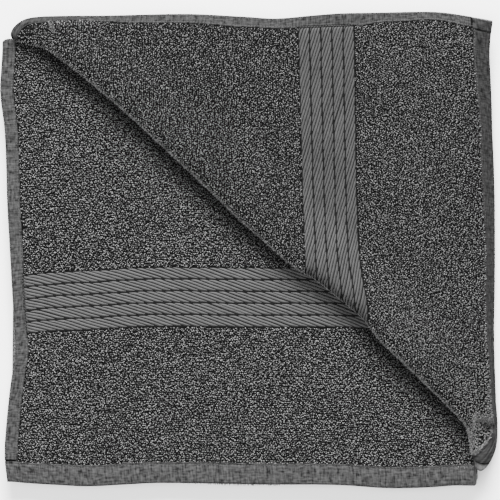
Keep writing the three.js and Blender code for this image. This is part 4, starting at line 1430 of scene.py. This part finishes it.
def laid_piece(name, laid, its_faces, marks, shades, label, its_material):
    """A piece of closed parts laid on the cloth, with places and shades of its points for the material."""
    piece = new_piece(name, new_mesh(name, laid, turned_outward(laid, its_faces)))
    store(piece.data, label, np.column_stack([marks * MM, np.zeros(len(marks))]))
    store(piece.data, "shade", shades)
    piece.data.materials.append(its_material)
    return piece


def set_on_sites(name, sites, tree, yarn, sizes):
    """Makes a plain mesh of the things that the tree sets on the sites."""
    piece = new_piece(name, site_mesh(name, sites))
    modifier = piece.modifiers.new("Yarn", "NODES")
    modifier.node_group = tree
    values = {**sizes, "Yarn": yarn}
    for socket in tree.interface.items_tree:
        if socket.name in values:
            modifier[socket.identifier] = values[socket.name]
    graph = bpy.context.evaluated_depsgraph_get()
    made = bpy.data.meshes.new_from_object(piece.evaluated_get(graph), depsgraph=graph)
    piece.modifiers.clear()
    piece.data = made
    made.name = name
    for label in ("turn", "size"):
        if label in made.attributes:
            made.attributes.remove(made.attributes[label])
    return piece


def split_sites(sites, most):
    """Sites in groups that keep each piece under the most that it may hold."""
    count = len(sites[0])
    groups = math.ceil(count / most)
    order = np.argsort(sites[0][:, 1], kind="stable")
    return [tuple(column[part] for column in sites) for part in np.array_split(order, groups)]


sheet.data.materials.append(terry_ground())
sheet.data.materials.append(hidden_terry())
shown_faces = np.isin(parts, ["back", "roll foot", "roll", "turned"])
hidden_faces = np.zeros(len(parts), bool)
sides = [shown_faces, hidden_faces] if faces_up else [hidden_faces, shown_faces]
slots = np.ones(len(sheet.data.polygons), int)
slots[: 2 * len(parts)] = np.where(np.concatenate(sides), 0, 1)
sheet.data.polygons.foreach_set("material_index", slots)
yarn_arch = yarn_tree("yarn_arch")
loop_material = loop_yarn()
border_material = border_yarn()
thread_material = sewing_thread()

LOOP_SIZES = {
    "Length": 1.15 * MM, "Height": 1.9 * MM, "Radius": 0.5 * MM, "Taper": 0.4, "Points": 3, "Sides": 3,
}
STITCH_SIZES = {
    "Length": 2.7 * MM, "Height": 0.3 * MM, "Radius": 0.28 * MM, "Taper": 0.4, "Points": 4, "Sides": 4,
}
LOOPS_A_PIECE = 13000  # so that a piece stays under 200,000 triangles

hem_material = hem_cloth()
pieces = []
for name, band in hem_bands.items():
    shades = np.full(len(band[0]), HEM_SHADES[name])
    pieces.append(laid_piece(name, *band, shades, "hem_place", hem_material))
for name, pads in stripe_pads.items():
    pieces.append(laid_piece(name, *pads, "cloth_place", border_material))
for group, sizes, yarn in (
    (loop_sites, LOOP_SIZES, loop_material),
    (stitch_sites, STITCH_SIZES, thread_material),
):
    for name, sites in group.items():
        for number, part in enumerate(split_sites(sites, LOOPS_A_PIECE)):
            pieces.append(set_on_sites(f"{name}_{number + 1}", part, yarn_arch, yarn, sizes))

for piece in [sheet, *pieces]:
    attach(piece, "root")
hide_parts("towel")

# Floor, light and camera
FLOOR_HALF = 3.0
floor_mesh = bpy.data.meshes.new("floor")
corners = [(-1, -1), (1, -1), (1, 1), (-1, 1)]
floor_mesh.from_pydata([(x * FLOOR_HALF, y * FLOOR_HALF, 0) for x, y in corners], [], [(0, 1, 2, 3)])
floor = new_piece("floor", floor_mesh)
paper, _, _ = material("matt_white_paper", "#fbfbfb", 0.9)
floor_mesh.materials.append(paper)


def area_light(name, place, size, power):
    data = bpy.data.lights.new(name, "AREA")
    data.size = size
    data.energy = power
    lamp = bpy.data.objects.new(name, data)
    lamp.location = place
    lamp.rotation_euler = (-Vector(place)).to_track_quat("-Z", "Y").to_euler()
    bpy.context.collection.objects.link(lamp)


area_light("key_from_above_the_top", (0.1, 3.8, 2.8), 2.4, 1450)
area_light("fill_from_above", (-0.7, -0.3, 2.6), 2.0, 130)

world = bpy.data.worlds.new("studio")
world.use_nodes = True
world.node_tree.nodes["Background"].inputs["Color"].default_value = (1, 1, 1, 1)
world.node_tree.nodes["Background"].inputs["Strength"].default_value = 0.9
bpy.context.scene.world = world

# The photograph looks straight down and shows 525 mm of the packet's upper face from side to side
CAMERA_HEIGHT = 3.0
SHOWN_WIDTH = 0.525
UPPER_FACE = 0.022
camera_data = bpy.data.cameras.new("camera")
camera_data.sensor_width = 36
camera_data.lens = 36 * (CAMERA_HEIGHT - UPPER_FACE) / SHOWN_WIDTH
camera = bpy.data.objects.new("camera", camera_data)
camera.location = (0.00026, 0, CAMERA_HEIGHT)
bpy.context.collection.objects.link(camera)
bpy.context.scene.camera = camera
